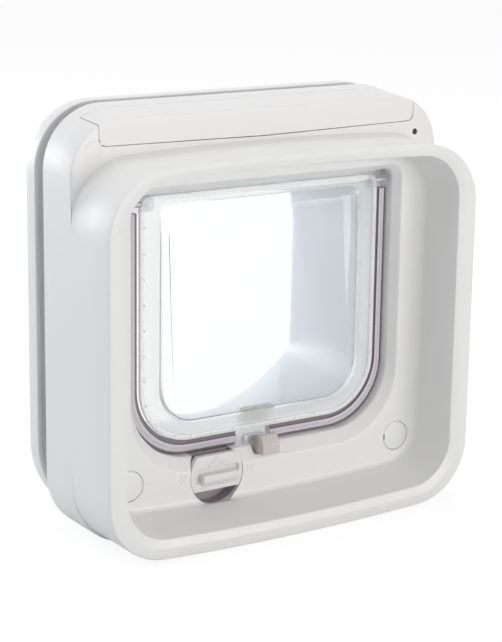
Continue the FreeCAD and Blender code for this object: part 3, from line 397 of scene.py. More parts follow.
def cut(piece, *tools):
    """Exact boolean, applied straight away; the tools are removed."""
    for tool in tools:
        step = piece.modifiers.new("cut", "BOOLEAN")
        step.operation = "DIFFERENCE"
        step.solver = "EXACT"
        step.object = tool
    graph = bpy.context.evaluated_depsgraph_get()
    done = bpy.data.meshes.new_from_object(piece.evaluated_get(graph))
    piece.modifiers.clear()
    old = piece.data
    piece.data = done
    bpy.data.meshes.remove(old)
    for tool in tools:
        bpy.data.objects.remove(tool)
    done.shade_smooth()
    done.set_sharp_from_angle(angle=SHARP_ANGLE)
    return piece


print("points in a section:", COUNT)

# %% [markdown]
# ## Front housing
# Collar, funnel, fascia and body shell are one moulding. Its skin runs from the rear edge over the body's top,
# down the ledge, through a hollow cove onto the collar, round the rim, down the funnel to the fascia and through
# the bevelled opening, and comes back inside as the inner wall. Where collar and body share their sides, the
# sections are spread along the depth instead, so that no face collapses there.

# %% Sections of the housing
RIM_SOFT, LEDGE_SOFT, COVE_RISE, COVE_REACH, FUNNEL_SOFT = 1.1, 0.9, 1.8, 4.0, 3.0
FRONT_OF_BODY, REAR_OF_BODY = 35.2, 63.2
FUNNEL_START, FUNNEL_END, FASCIA, FASCIA_BACK, OPENING_REAR = 1.2, 24, 27.0, 29.5, 40.5
HEAD_FRONT, HEAD_RISE, BROW_RADIUS, BROW_GROWTH = 206.3, 3.7, 26, 4
LONG_ARC, WALL, INNER_LEDGE = 1500, 2.5, 37.7


def body_head(y):
    """Height of the body's top at one depth, and the radius of its corners there."""
    share = (y - FRONT_OF_BODY) / (REAR_OF_BODY - FRONT_OF_BODY)
    return HEAD_FRONT + HEAD_RISE * share, BROW_RADIUS + BROW_GROWTH * share


def body_section(y, inset=0.0):
    head, radius = body_head(y)
    return outline(HALF - inset, inset, head - inset, 31 - inset, radius - inset)


def collar_section(inset=0.0):
    return outline(HALF - inset, inset, 189 - inset, 31 - inset, 31 - inset, LONG_ARC, LONG_ARC)


body_front = body_section(FRONT_OF_BODY)
collar = collar_section()
lift = np.clip(normals(collar)[:, 1], 0, 1) ** 0.7
lift[on_side] = 0
ledge_foot = grown(collar, COVE_RISE * lift)
step = np.linalg.norm(body_front - ledge_foot, axis=1)
soft = np.minimum(LEDGE_SOFT, 0.45 * step)
soft[on_side] = 0
level = np.where(on_side, 0.0, 1.0)


def split(top, side):
    """Depth of each point: one value where the ledge is, another down the sides."""
    return level * top + (1 - level) * side


def coved(share):
    """The collar's outline raised by a share of the cove, without growing past the sides."""
    ring = grown(collar, COVE_RISE * lift * share)
    ring[:, 0] = np.clip(ring[:, 0], -HALF, HALF)
    return ring


rings = [at(grown(body_section(REAR_OF_BODY), -0.4), REAR_OF_BODY)]
rings += [at(body_section(REAR_OF_BODY), REAR_OF_BODY - 0.4), at(body_section(50), 50)]
for turn_by in (0, 22.5, 45, 67.5, 90):
    a = math.radians(turn_by)
    depth = FRONT_OF_BODY + soft * (1 - math.sin(a))
    rings.append(at(grown(body_front, -soft * (1 - math.cos(a))), split(depth, 37.5 - turn_by / 60)))
for turn_by in (0, 15, 30, 45, 60, 75, 90):
    a = math.radians(turn_by)
    depth = FRONT_OF_BODY - COVE_REACH * math.sin(a)
    rings.append(at(coved(1 - math.sin(a)), split(depth, 34.8 - turn_by / 20)))
rings.append(at(collar, 16))
for c, s in arc(0, 22.5, 45, 67.5, 90):
    rings.append(at(grown(collar, -RIM_SOFT * (1 - c)), RIM_SOFT * (1 - s)))
land = outline(99.2, 5.4, 186.4, 26, 26, LONG_ARC, LONG_ARC)
mouth = outline(95, 9.5, 183.6, 23, 23, LONG_ARC, LONG_ARC)
rings += [at(grown(land, 0.5), 0), at(land, 0.05), at(grown(land, -0.4), 0.14)]
rings += [at(grown(mouth, 0.6), 1.05), at(mouth, 1.35), at(grown(mouth, -0.2), 2.0)]
foot = outline(92.5, 15.2, 180, 20, 20, LONG_ARC, LONG_ARC)
blend_in = (foot - mouth) / (FASCIA - FUNNEL_START)
for y in (8, 16, FUNNEL_END):
    rings.append(at(mouth + blend_in * (y - FUNNEL_START), y))
near_foot = mouth + blend_in * (FUNNEL_END - FUNNEL_START)
for c, s in arc(18, 36, 54, 72, 90):
    rings.append(at(grown(near_foot, -FUNNEL_SOFT * (1 - c)), FUNNEL_END + FUNNEL_SOFT * s))
crease = outline(78.7, 32, 174, 36, 7)
edge = outline(75.7, 38.5, 171, 33, 4)
slope = (edge - crease) / 5
rings += [at(crease - slope * 0.9, FASCIA), at(crease - slope * 0.25, 27.08), at(crease + slope * 0.25, 27.3)]
rings += [at(crease + slope * 1.0, 28.0), at(edge - slope * 0.7, 31.3), at(edge - slope * 0.15, 31.8)]
rings += [at(edge + slope * 0.02, 32.3), at(edge, 33.0), at(edge, OPENING_REAR)]
sleeve = outline(78.2, 36, 173.5, 35.5, 6.5)
rings += [at(sleeve, OPENING_REAR), at(sleeve, 34.6), at(outline(80.6, 30.4, 176, 38, 9), FASCIA_BACK)]
rings += [at(outline(95, 12.7, 182.5, 22.5, 22.5, LONG_ARC, LONG_ARC), FASCIA_BACK)]
rings += [at(outline(97.4, 7.1, 186, 25, 25, LONG_ARC, LONG_ARC), 2.6)]
inner_collar, inner_body = collar_section(WALL), body_section(INNER_LEDGE, WALL)
rings += [at(inner_collar, 2.6), at(inner_collar, split(INNER_LEDGE, 36.5))]
rings += [at(inner_body, split(INNER_LEDGE, 38.5))]
rings += [at(body_section(REAR_OF_BODY, WALL), REAR_OF_BODY)]
front_shell = solid("front_shell", skin(rings, loop=True), white_plastic)
print("front shell:", len(front_shell.data.polygons), "faces")

# %% [markdown]
# ## Cut-outs of the front
# The battery bay, the recess of the turn lock, the two screw recesses, the latch slot and the light's hole are
# holes through this skin. An exact boolean keeps their edges crisp, and each tool is a simple closed shape.


# %% Tools for the cut-outs
def turned(name, x, z, profile, material, sides=56, loop=True):
    """Shape turned round an axis along the depth, from pairs of radius and depth."""
    turns = [math.tau * j / sides for j in range(sides)]
    circle = np.array([(math.cos(a), math.sin(a)) for a in turns])
    middle = np.array([x, z])
    return solid(name, skin([at(middle + circle * r, y) for r, y in profile], loop=loop), material)


def disc(name, x, z, radius, near, far, material, soft_edge=0.0, sides=64):
    """Round bar along the depth, with a softened front edge if one is given."""
    profile = [(radius, far)]
    if soft_edge:
        profile += [(radius - soft_edge * (1 - c), near + soft_edge * (1 - s)) for c, s in arc(0, 30, 60, 90)]
    else:
        profile.append((radius, near))
    return turned(name, x, z, profile, material, sides, loop=False)


def block(name, low, high, material, bevel=0.0):
    """Box from its low and its high corner, with rounded edges if a bevel is given."""
    (x0, y0, z0), (x1, y1, z1) = low, high
    corners = [(x, y, z) for x in (x0, x1) for y in (y0, y1) for z in (z0, z1)]
    faces = [(0, 1, 3, 2), (4, 6, 7, 5), (0, 4, 5, 1), (2, 3, 7, 6), (0, 2, 6, 4), (1, 5, 7, 3)]
    piece = solid(name, (corners, faces), material, smooth=40)
    if bevel:
        rounded(piece, bevel)
    return piece


def rounded(piece, width, angle=30):
    """Bevel on the sharp edges, made part of the mesh."""
    step = piece.modifiers.new("soft", "BEVEL")
    step.width = width / 1000
    step.segments = 3
    step.limit_method = "ANGLE"
    step.angle_limit = math.radians(angle)
    graph = bpy.context.evaluated_depsgraph_get()
    done = bpy.data.meshes.new_from_object(piece.evaluated_get(graph))
    piece.modifiers.clear()
    piece.data = done
    done.shade_smooth()
    done.set_sharp_from_angle(angle=math.radians(40))
    return piece


def joined(name, pieces):
    """Several meshes as one piece."""
    shape = bmesh.new()
    for piece in pieces:
        shape.from_mesh(piece.data)
    mesh = bpy.data.meshes.new(name)
    shape.to_mesh(mesh)
    shape.free()
    for material in pieces[0].data.materials:
        mesh.materials.append(material)
    for piece in pieces:
        bpy.data.objects.remove(piece)
    mesh.shade_smooth()
    mesh.set_sharp_from_angle(angle=SHARP_ANGLE)
    whole = bpy.data.objects.new(name, mesh)
    scene.collection.objects.link(whole)
    return whole


LOCK_X, LOCK_Z, LOCK_R = -30.1, 28.5, 14.9
SCREW_X, COVER_Z, SCREW_TOP_Z, COVER_SEAT = 79.5, 30.8, 196.5, 7.75
BAY_HALF, BAY_CORNER = 90.6, 3.5
bay = [(0, 192.3)]
for c, s in arc(-90, -67.5, -45, -22.5, 0):
    bay.append((BAY_HALF - BAY_CORNER + BAY_CORNER * c, 197.1 + BAY_CORNER * s))
bay += [(BAY_HALF, 215), (-BAY_HALF, 215)] + [(-x, z) for x, z in bay[:0:-1]]
bay_ring = np.array(bay)
bay_tool = solid("bay_tool", skin([at(bay_ring, 53.6), at(bay_ring, 30)]), white_plastic)
tools = [bay_tool, disc("lock_tool", LOCK_X, LOCK_Z, LOCK_R + 0.35, 24, 40, white_plastic)]
tools.append(disc("light_tool", 92, 188, 1.6, 33, 45, white_plastic, sides=24))
tools.append(block("latch_tool", (-7.2, 24, 34.3), (5.4, 34.2, 44), white_plastic))
for side in (-1, 1):
    tools.append(disc("cover_tool", side * SCREW_X, COVER_Z, COVER_SEAT, 24, 34, white_plastic))
cut(front_shell, *tools)
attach(front_shell, "housing")
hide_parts("front_case")
print("after the cuts:", len(front_shell.data.polygons), "faces")

# %% [markdown]
# ## Marks in low relief
# A battery sign beside the cover and small arrow heads round the lock are moulded into the skin. They stand only
# a fifth of a millimetre proud, so that they show as faint lines. Each is a flat ribbon along a line of points.


# %% Signs
SIGN_RISE, SUNK = 0.2, 0.05


def relief(name, lines, y, width, rise, material):
    """Flat ribbons along lines of points (x, z), standing proud of a face at depth y."""
    points, faces = [], []
    for line in lines:
        closed = line[0] == line[-1]
        spine = np.array(line[:-1] if closed else line)
        ahead, behind = np.roll(spine, -1, 0) - spine, spine - np.roll(spine, 1, 0)
        if not closed:
            ahead[-1], behind[0] = behind[-1], ahead[0]
        ahead /= np.linalg.norm(ahead, axis=1)[:, None]
        behind /= np.linalg.norm(behind, axis=1)[:, None]
        across = np.stack([-(ahead + behind)[:, 1], (ahead + behind)[:, 0]], 1)
        across /= np.linalg.norm(across, axis=1)[:, None]
        square = np.stack([-ahead[:, 1], ahead[:, 0]], 1)
        offset = across * (width / 2 / (across * square).sum(1))[:, None]
        n, k = len(spine), len(points)
        sides = ((1, y + SUNK), (1, y - rise), (-1, y - rise), (-1, y + SUNK))
        points += [tuple(p) for side, depth in sides for p in at(spine + side * offset, depth)]
        for j in range(n if closed else n - 1):
            i = (j + 1) % n
            for r in range(4):
                here, there = k + r * n, k + (r + 1) % 4 * n
                faces.append((here + j, here + i, there + i, there + j))
        if not closed:
            faces += [tuple(k + r * n for r in range(4)), tuple(k + r * n + n - 1 for r in (3, 2, 1, 0))]
    return solid(name, (points, faces), material, smooth=20)


cell = [(-96.4, 188.6), (-90.0, 188.6), (-89.5, 189.1), (-89.5, 195.1), (-90.0, 195.6), (-96.4, 195.6)]
cell += [(-96.9, 195.1), (-96.9, 189.1), (-96.4, 188.6)]
pole = [(-94.6, 195.9), (-94.6, 196.9), (-91.8, 196.9), (-91.8, 195.9)]
level_line = [(-95.4, 190.4), (-91.0, 190.4)]
heads = []
for x, way in ((-49.4, -1), (-11.2, 1)):
    for shift in (0, 2.0):
        tip = x + way * (0.8 + shift - 1)
        heads.append([(tip - way * 1.2, 31.0), (tip, 28.9), (tip - way * 1.2, 26.8)])
battery_sign = relief("battery_sign", [cell, pole, level_line], FRONT_OF_BODY, 0.6, SIGN_RISE, white_plastic)
arrow_heads = relief("arrow_heads", heads, FASCIA, 0.55, SIGN_RISE, white_plastic)
signs = joined("signs", [battery_sign, arrow_heads])
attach(signs, "housing")
print("signs:", len(signs.data.polygons), "faces")

# %% [markdown]
# ## Recesses behind the fascia
# The lock turns in a shallow cup with a bore for its shaft, and the screw covers sit in cups of their own. They
# are rings swept round their axes, closed behind, so that nothing shows through the cut-outs. The lock's cup would
# stick out of the rounded fascia and the bevel, so it is trimmed to both, a quarter of a millimetre behind them.
# Cups and upper screw towers are coloured a darker lavender grey: painted shade of the deep recesses.

# %% Cups of the lock and the screws, and the upper screw towers
LOCK_CUP_R, LOCK_CUP_WALL, SCREW_BORE, TOWER_R = LOCK_R + 0.45, 17.3, 2.3, 5.2
cup = [(LOCK_CUP_R, 24.3), (LOCK_CUP_R, 36), (5.1, 36), (5.1, 38.4)]
cup += [(LOCK_CUP_WALL, 38.4), (LOCK_CUP_WALL, 24.3)]
CUP_GAP = 0.25
funnel = [at(grown(mouth, CUP_GAP), 2), at(grown(near_foot, CUP_GAP), FUNNEL_END)]
for c, s in arc(18, 36, 54, 72, 90):
    funnel.append(at(grown(near_foot, CUP_GAP - FUNNEL_SOFT * (1 - c)), FUNNEL_END + CUP_GAP + FUNNEL_SOFT * s))
opening_tool = [at(grown(crease, 1.8), 24.5), at(grown(crease, 0.4), FASCIA)]
opening_tool += [at(grown(edge, 0.3), 32), at(grown(edge, 0.3), 44)]
# The cups take the darker lavender grey of painted shade.
lock_cup = turned("lock_cup", LOCK_X, LOCK_Z, cup, recess_painted_shade)
funnel_tool = solid("funnel_tool", skin(funnel), recess_painted_shade)
opening_tool = solid("opening_tool", skin(opening_tool), recess_painted_shade)
pieces = [cut(lock_cup, funnel_tool, opening_tool)]
for side in (-1, 1):
    cup = [(COVER_SEAT, 27.6), (COVER_SEAT, 29.2), (4.4, 29.2), (4.4, 33.9), (SCREW_BORE, 33.9)]
    cup += [(SCREW_BORE, 60.6), (TOWER_R, 60.6), (TOWER_R, 35.8), (9.4, 35.8), (9.4, 27.8)]
    pieces.append(turned("screw_cup", side * SCREW_X, COVER_Z, cup, recess_painted_shade, 40))
    tower = [(SCREW_BORE, 43.8), (SCREW_BORE, 60.6), (TOWER_R, 60.6), (TOWER_R, 43.8)]
    pieces.append(turned("screw_tower", side * SCREW_X, SCREW_TOP_Z, tower, recess_painted_shade, 32))
cups = joined("housing_cups", pieces)
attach(cups, "housing")
print("cups:", len(cups.data.polygons), "faces")

# %% [markdown]
# ## Tunnel and back plate
# The rear case is a plate in the housing's back, with the tunnel through it. The tunnel narrows upwards from the
# far end and its floor rises towards the flap, so its sections change evenly with depth. Behind the housing its
# floor turns into a wide bowl, which each section there takes a growing share of. A few more sections round the
# far edge give it the thick soft lip of a moulding.

# %% Rear case
TUNNEL_START, TUNNEL_END, TUNNEL_HALF, BOWL_START = 40.8, 116.0, 71, 62
LIP, LIP_SOFT, PLATE_FRONT, PLATE_GAP, SLEEVE_REAR = 2.2, 1.1, 60.7, 2.71, 43


def tunnel_section(y, grow=0.0):
    """The tunnel's outline at one depth, grown for its outer faces."""
    t = (y - TUNNEL_START) / (TUNNEL_END - TUNNEL_START)
    arch = 3000 + (765 - 3000) * t + grow
    side, head, r_head = TUNNEL_HALF + grow, 168 - 18 * t + grow, 3.5 + grow
    plain = outline(side, 38 - 7 * t - grow, head, 36 + 14 * t + grow, r_head, arch=arch)
    bowl = outline(side, 36 - 7.1 * t - grow, head, 8.5 + grow, r_head, 98 + grow, arch)
    share = max(0.0, (y - BOWL_START) / (TUNNEL_END - BOWL_START))
    return plain + (bowl - plain) * share


rings = [at(tunnel_section(TUNNEL_START, 0.3), TUNNEL_START)]
rings.append(at(tunnel_section(TUNNEL_START), TUNNEL_START + 0.4))
rings += [at(tunnel_section(y), y) for y in (52, 64, 76, 88, 100, 110, 115)]
for c, s in arc(30, 60, 90):
    rings.append(at(tunnel_section(TUNNEL_END, LIP_SOFT * (1 - c)), 115 + s))
for c, s in arc(30, 60, 90):
    rings.append(at(tunnel_section(TUNNEL_END, LIP_SOFT + LIP_SOFT * s), 115 + c))
rings += [at(tunnel_section(y, LIP), y) for y in (108, 96, 84, 74)]
rings.append(at(tunnel_section(REAR_OF_BODY, LIP), REAR_OF_BODY))
rings.append(at(body_section(REAR_OF_BODY, 2.9), REAR_OF_BODY))
rings += [at(body_section(REAR_OF_BODY, PLATE_GAP), REAR_OF_BODY - 0.25)]
rings += [at(body_section(PLATE_FRONT, PLATE_GAP), PLATE_FRONT)]
rings += [at(tunnel_section(y, LIP), y) for y in (PLATE_FRONT, 52, SLEEVE_REAR, SLEEVE_REAR)]
rings += [at(sleeve, SLEEVE_REAR), at(sleeve, TUNNEL_START)]
rear_shell = solid("rear_shell", skin(rings, loop=True), tunnel_plastic)
tools = [disc("cam_slot", LOCK_X, LOCK_Z, 19.4, 40.5, 44.5, white_plastic)]
for x in (-SCREW_X, SCREW_X):
    for z in (COVER_Z, SCREW_TOP_Z):
        tools.append(disc("screw_hole", x, z, SCREW_BORE, 58, 66, white_plastic, sides=24))
for x in (-99.2, 99.2):
    for z in (62, 150):
        tools.append(disc("screw_sink", x, z, 2.7, 61.7, 66, white_plastic, sides=24))
cut(rear_shell, *tools)
lug = block("cam_lug", (LOCK_X - 6, 44.6, 20.5), (LOCK_X + 6, 47.1, 36.5), white_plastic)
cradle = block("coil_cradle", (-8, 45.6, 9), (8, 60.7, 11.5), white_plastic)
cradle_wall = block("coil_wall", (-8, 45.6, 9), (8, 48.1, 23.6), white_plastic)
posts = [disc("post", side * 24, 189, 2.5, 58.2, 60.8, white_plastic, sides=24) for side in (-1, 1)]
rear_shell = joined("rear_shell_whole", [rear_shell, lug, cradle, cradle_wall] + posts)
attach(rear_shell, "housing")
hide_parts("rear_case")
print("rear shell:", len(rear_shell.data.polygons), "faces")

# %% [markdown]
# ## Exterior frame
# The flat outside frame is a shallow tray, open towards the door, that slips over the tunnel. The same rings
# make it: round the outer edge, over the softened back, through the tunnel hole and back inside, where a wide rim
# with a low step lies against the door. Four bosses take the long screws and thin ribs stiffen it; the ribs
# repeat, so Geometry Nodes set them along the sides.

# %% Exterior frame
FRAME_FRONT, FRAME_REAR, FRAME_SOFT, FRAME_FLOOR = 71.7, 81.7, 2.5, 79.2
RIM_WALL, RIM_WIDE, RIM_STEP, COLLAR_WALL = 2.2, 10, 72.5, 4.7


def frame_section(inset=0.0):
    return outline(HALF - inset, inset, 210 - inset, 44 - inset, 32 - inset)


rings = [at(frame_section(RIM_WALL), FRAME_FRONT), at(frame_section(0.4), FRAME_FRONT)]
rings += [at(frame_section(), FRAME_FRONT + 0.4), at(frame_section(), 76)]
for c, s in arc(0, 22.5, 45, 67.5, 90):
    rings.append(at(frame_section(FRAME_SOFT * (1 - c)), FRAME_REAR - FRAME_SOFT + FRAME_SOFT * s))
rings += [at(tunnel_section(FRAME_REAR, grow), FRAME_REAR) for grow in (5.1, 2.8)]
rings += [at(tunnel_section(FRAME_REAR, 2.5), FRAME_REAR - 0.3)]
rings += [at(tunnel_section(FRAME_FRONT, grow), FRAME_FRONT) for grow in (2.5, COLLAR_WALL)]
rings += [at(tunnel_section(FRAME_FLOOR, COLLAR_WALL), FRAME_FLOOR)]
rings += [at(frame_section(RIM_WIDE), FRAME_FLOOR), at(frame_section(RIM_WIDE), RIM_STEP)]
rings += [at(frame_section(RIM_WALL), RIM_STEP)]
outer_frame = solid("outer_frame", skin(rings, loop=True), white_plastic)
bosses = []
for x in (-SCREW_X, SCREW_X):
    for z in (COVER_Z, SCREW_TOP_Z):
        boss = [(TOWER_R, FRAME_FRONT), (TOWER_R, 79.4), (2.1, 79.4), (2.1, FRAME_FRONT)]
        bosses.append(turned("boss", x, z, boss, white_plastic, 32))
outer_frame = joined("outer_frame_whole", [outer_frame] + bosses)
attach(outer_frame, "housing")
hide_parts("exterior_frame")


def repeat_tree(name, inputs, build, material, smooth=False):
    """Geometry Nodes tree: one small shape on every point, at the size that its named inputs give."""
    tree = bpy.data.node_groups.new(name, "GeometryNodeTree")
    tree.interface.new_socket("Geometry", in_out="INPUT", socket_type="NodeSocketGeometry")
    for label, value in inputs.items():
        socket = tree.interface.new_socket(label, in_out="INPUT", socket_type="NodeSocketFloat")
        socket.default_value = value
    tree.interface.new_socket("Geometry", in_out="OUTPUT", socket_type="NodeSocketGeometry")
    nodes, links = tree.nodes, tree.links
    given, result = nodes.new("NodeGroupInput"), nodes.new("NodeGroupOutput")
    spread = nodes.new("GeometryNodeInstanceOnPoints")
    links.new(given.outputs["Geometry"], spread.inputs["Points"])
    links.new(build(tree, given.outputs), spread.inputs["Instance"])
    last = nodes.new("GeometryNodeRealizeInstances")
    links.new(spread.outputs[0], last.inputs[0])
    if smooth:
        shade = nodes.new("GeometryNodeSetShadeSmooth")
        links.new(last.outputs[0], shade.inputs["Geometry"])
        last = shade
    paint = nodes.new("GeometryNodeSetMaterial")
    paint.inputs["Material"].default_value = material
    links.new(last.outputs[0], paint.inputs["Geometry"])
    links.new(paint.outputs[0], result.inputs[0])
    return tree


def rib_shape(tree, given):
    size = tree.nodes.new("ShaderNodeCombineXYZ")
    for axis, label in enumerate(("Rib Width", "Rib Depth", "Rib Height")):
        tree.links.new(given[label], size.inputs[axis])
    rib = tree.nodes.new("GeometryNodeMeshCube")
    tree.links.new(size.outputs[0], rib.inputs["Size"])
    return rib.outputs["Mesh"]


def on_points(name, tree, points, values):
    """The tree's shape on each point, as a plain mesh."""
    mesh = bpy.data.meshes.new(name + "_points")
    mesh.from_pydata([(x / 1000, (y - REAR_SHIFT) / 1000, z / 1000) for x, y, z in points], [], [])
    carrier = bpy.data.objects.new(name, mesh)
    scene.collection.objects.link(carrier)
    step = carrier.modifiers.new("repeat", "NODES")
    step.node_group = tree
    for item in tree.interface.items_tree:
        if item.item_type == "SOCKET" and item.in_out == "INPUT" and item.name in values:
            step[item.identifier] = values[item.name]
    graph = bpy.context.evaluated_depsgraph_get()
    done = bpy.data.meshes.new_from_object(carrier.evaluated_get(graph))
    carrier.modifiers.clear()
    carrier.data = done
    return carrier


rib_inputs = {"Rib Width": 0.03, "Rib Depth": 0.007, "Rib Height": 0.0015}
frame_rib = repeat_tree("frame_rib", rib_inputs, rib_shape, white_plastic)
points = [(side * 89.4, 76, z) for side in (-1, 1) for z in (67.6, 109, 146, 172)]
ribs = on_points("frame_ribs", frame_rib, points, {"Rib Width": 0.0268, "Rib Depth": 0.0075})
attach(ribs, "housing")
print("outer frame:", len(outer_frame.data.polygons), "faces, ribs:", len(points))

# %% [markdown]
# ## Clear flap
# The flap is one clear moulding: a border with a low bead, a middle panel moulded forwards by 2 mm, whose step
# fades out towards the hinges, and two knuckles that turn on pins. Clear plastic shows its edges as dark and
# bright lines, so the edges need real radii: rings again, with closed ends, because a boolean would leave facets
# that glitter. Panel and border differ a little in how clear they are; the strip with the bead is nearly opaque
# white, a painted highlight along the edge on top of the real highlights of its ridge.

# %% Flap
PANE_FRONT, PANE_REAR, PANE_SOFT, PANEL_RISE, HINGE_Y, HINGE_Z = 34.5, 37.5, 0.8, 2.0, 36.0, 165.0
FADE_START, FADE_LENGTH = 143, 19
pane = outline(68.8, 46, 168.5, 28, 5)
panel = outline(58.4, 54.4, 164.5, 20, 6)
hollow = outline(57, 55.8, 163.1, 18.6, 4.6)
fade = 1 - np.clip((panel[:, 1] - FADE_START) / FADE_LENGTH, 0, 1) ** 1.5


def sunk(from_rear):
    """Depth of a section in the panel's hollow, which gets shallower towards the hinges."""
    return PANE_REAR - from_rear * fade


rings = [at(grown(hollow, -4), sunk(PANEL_RISE)), at(grown(hollow, -0.8), sunk(PANEL_RISE))]
rings += [at(grown(hollow, -0.2), sunk(1.75)), at(hollow, sunk(1.3)), at(hollow, sunk(0.4))]
rings += [at(grown(hollow, 0.4), PANE_REAR), at(grown(pane, -3), PANE_REAR)]
for c, s in arc(90, 60, 30, 0):
    rings.append(at(grown(pane, -PANE_SOFT * (1 - c)), PANE_REAR - PANE_SOFT + PANE_SOFT * s))
for c, s in arc(0, 30, 60, 90):
    rings.append(at(grown(pane, -PANE_SOFT * (1 - c)), PANE_FRONT + PANE_SOFT - PANE_SOFT * s))
for inset, rise in ((1.1, 0), (1.4, 0.3), (1.8, 0.45), (2.2, 0.3), (2.5, 0)):
    rings.append(at(grown(pane, -inset), PANE_FRONT - rise))
rings += [at(grown(panel, 1.0), PANE_FRONT), at(grown(panel, 0.3), PANE_FRONT - 0.2 * fade)]
rings.append(at(grown(panel, 0.1), PANE_FRONT - 0.7 * fade))
for c, s in arc(0, 30, 60, 90):
    rings.append(at(grown(panel, -0.9 * (1 - c)), PANE_FRONT - (1.1 + 0.9 * s) * fade))
rings.append(at(grown(panel, -6), PANE_FRONT - PANEL_RISE * fade))
flap_body = solid("flap_body", skin(rings), pane_plastic, smooth=50)


def barrel(name, x0, x1, y, z, radius, material, soft_edge=0.5, sides=40, bore=0.0):
    """Round bar across the width with softened ends, hollow when it has a bore."""
    turns = [math.tau * j / sides for j in range(sides)]
    circle = np.array([(math.cos(a), math.sin(a)) for a in turns])
    cut_back = soft_edge * 0.3
    profile = [(x0, radius - soft_edge), (x0 + cut_back, radius - cut_back), (x0 + soft_edge, radius)]
    profile += [(x1 - soft_edge, radius), (x1 - cut_back, radius - cut_back), (x1, radius - soft_edge)]
    if bore:
        profile += [(x1, bore), (x0, bore)]
    rings = [np.stack([np.full(sides, x), y + circle[:, 0] * r, z + circle[:, 1] * r], 1) for x, r in profile]
    return solid(name, skin(rings, loop=bool(bore)), material)


for polygon in flap_body.data.polygons:
    polygon.use_smooth = True
flap_body.data.materials.append(border_plastic)
flap_body.data.materials.append(bead_painted_highlight)


def outside(line, point):
    """True where a point lies outside a closed convex outline."""
    step_x, step_z = (np.roll(line, -1, 0) - line).T
    return (step_x * (point.z * 1000 - line[:, 1]) - step_z * (point.x * 1000 - line[:, 0])).min() < 0


# Faces outside the bead's limit get the nearly white strip, a painted highlight along the edge.
panel_limit, bead_highlight_limit = grown(panel, -1.0), grown(pane, -2.9)
for polygon in flap_body.data.polygons:
    polygon.material_index = sum(outside(limit, polygon.center) for limit in (panel_limit, bead_highlight_limit))
knuckles = []
for side in (-1, 1):
    ends = sorted((side * 62.8, side * 74.2))
    knuckles.append(barrel("knuckle", *ends, HINGE_Y, HINGE_Z, 3.85, knuckle_plastic, bore=1.55))
knuckles = joined("knuckles", knuckles)
pins = []
for side in (-1, 1):
    pins.append(barrel("pin", *sorted((side * 65.3, side * 80.4)), HINGE_Y, HINGE_Z, 1.48, steel, 0.3))
pins = joined("pins", pins)
for piece, slot in ((flap_body, "clear_plastic"), (knuckles, "clear_plastic"), (pins, "steel")):
    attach(piece, "swinging_flap")
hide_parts("flap")
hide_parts("hinge_pins")
seats = []
for side in (-1, 1):
    ends = sorted((side * 77, side * 81.9))
    seats.append(barrel("seat", *ends, HINGE_Y, HINGE_Z, 4.5, white_plastic, 0.3, bore=1.6))
seats = joined("hinge_seats", seats)
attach(seats, "housing")
print("flap:", len(flap_body.data.polygons), "faces")

# %% [markdown]
# ## Draught seal
# A soft grey strip stands in the housing's sleeve and fills the slot round the flap. It lies between two rings,
# the sleeve's and the flap's, so each line of its section is a share of the way from one to the other; that keeps
# its channels and its lip parallel to both. The faces in its outer and inner channels are a darker grey, painted
# shade of the deep slot. It is cut off below the hinges and round the magnet. A row of pips along the flap's edge
# keeps the flap off the strip; they repeat, so Geometry Nodes set them.

# %% Seal
strip_outer = outline(75.3, 38.9, 170.6, 32.6, 3.6)
strip_inner = outline(69.5, 45.3, 170.6, 28.7, 5)
profile = [(0, OPENING_REAR), (0, 37.2), (0.03, 37.0), (0.12, 37.0), (0.17, 36.2), (0.22, 36.0), (0.4, 36.0)]
profile += [(0.44, 36.3), (0.48, 36.0), (0.64, 36.0), (0.69, 36.2), (0.73, 37.2), (1, 37.2), (1, OPENING_REAR)]
OUTER_SHADE_BAND, INNER_SHADE_BAND = 3, 10
rings = [at(strip_outer + (strip_inner - strip_outer) * share, y) for share, y in profile]
strip = solid("seal_strip", skin(rings, loop=True), seal_plastic)
strip.data.materials.append(seal_painted_shade)
# The outer and inner channel faces get the darker grey as painted shade.
for polygon in strip.data.polygons:
    band = polygon.index // COUNT
    if band <= OUTER_SHADE_BAND or band >= INNER_SHADE_BAND:
        polygon.material_index = 1
top_tool = block("top_tool", (-120, 30, 160.5), (120, 42, 200), seal_plastic)
notch_tool = block("notch_tool", (-13, 30, 30), (7, 42, 48.4), seal_plastic)
cut(strip, top_tool, notch_tool)


def pip_shape(tree, given):
    ball = tree.nodes.new("GeometryNodeMeshIcoSphere")
    ball.inputs["Subdivisions"].default_value = 2
    tree.links.new(given["Pip Radius"], ball.inputs["Radius"])
    return ball.outputs["Mesh"]


PIP_SPACING, PIP_TOP, PIP_DEPTH = 12.4, 157, 33.95
bead_line = grown(pane, -1.8)
steps = np.linalg.norm(np.roll(bead_line, -1, 0) - bead_line, axis=1)
run = np.concatenate([[0], np.cumsum(steps)])
pips = []
for length in np.arange(0, run[-1], PIP_SPACING):
    j = min(int(np.searchsorted(run, length, "right")) - 1, len(bead_line) - 1)
    share = (length - run[j]) / steps[j]
    x, z = bead_line[j] * (1 - share) + bead_line[(j + 1) % len(bead_line)] * share
    if z < PIP_TOP:
        pips.append((x, PIP_DEPTH, z))
# The pips are opaque white, painted glints along the flap's edge.
pip_tree = repeat_tree("flap_pip", {"Pip Radius": 0.0005}, pip_shape, pip_painted_glint, smooth=True)
pip_piece = on_points("flap_pips", pip_tree, pips, {"Pip Radius": 0.0006})
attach(strip, "housing")
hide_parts("flap_seal")
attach(pip_piece, "swinging_flap")
print("seal:", len(strip.data.polygons), "faces, pips:", len(pips))

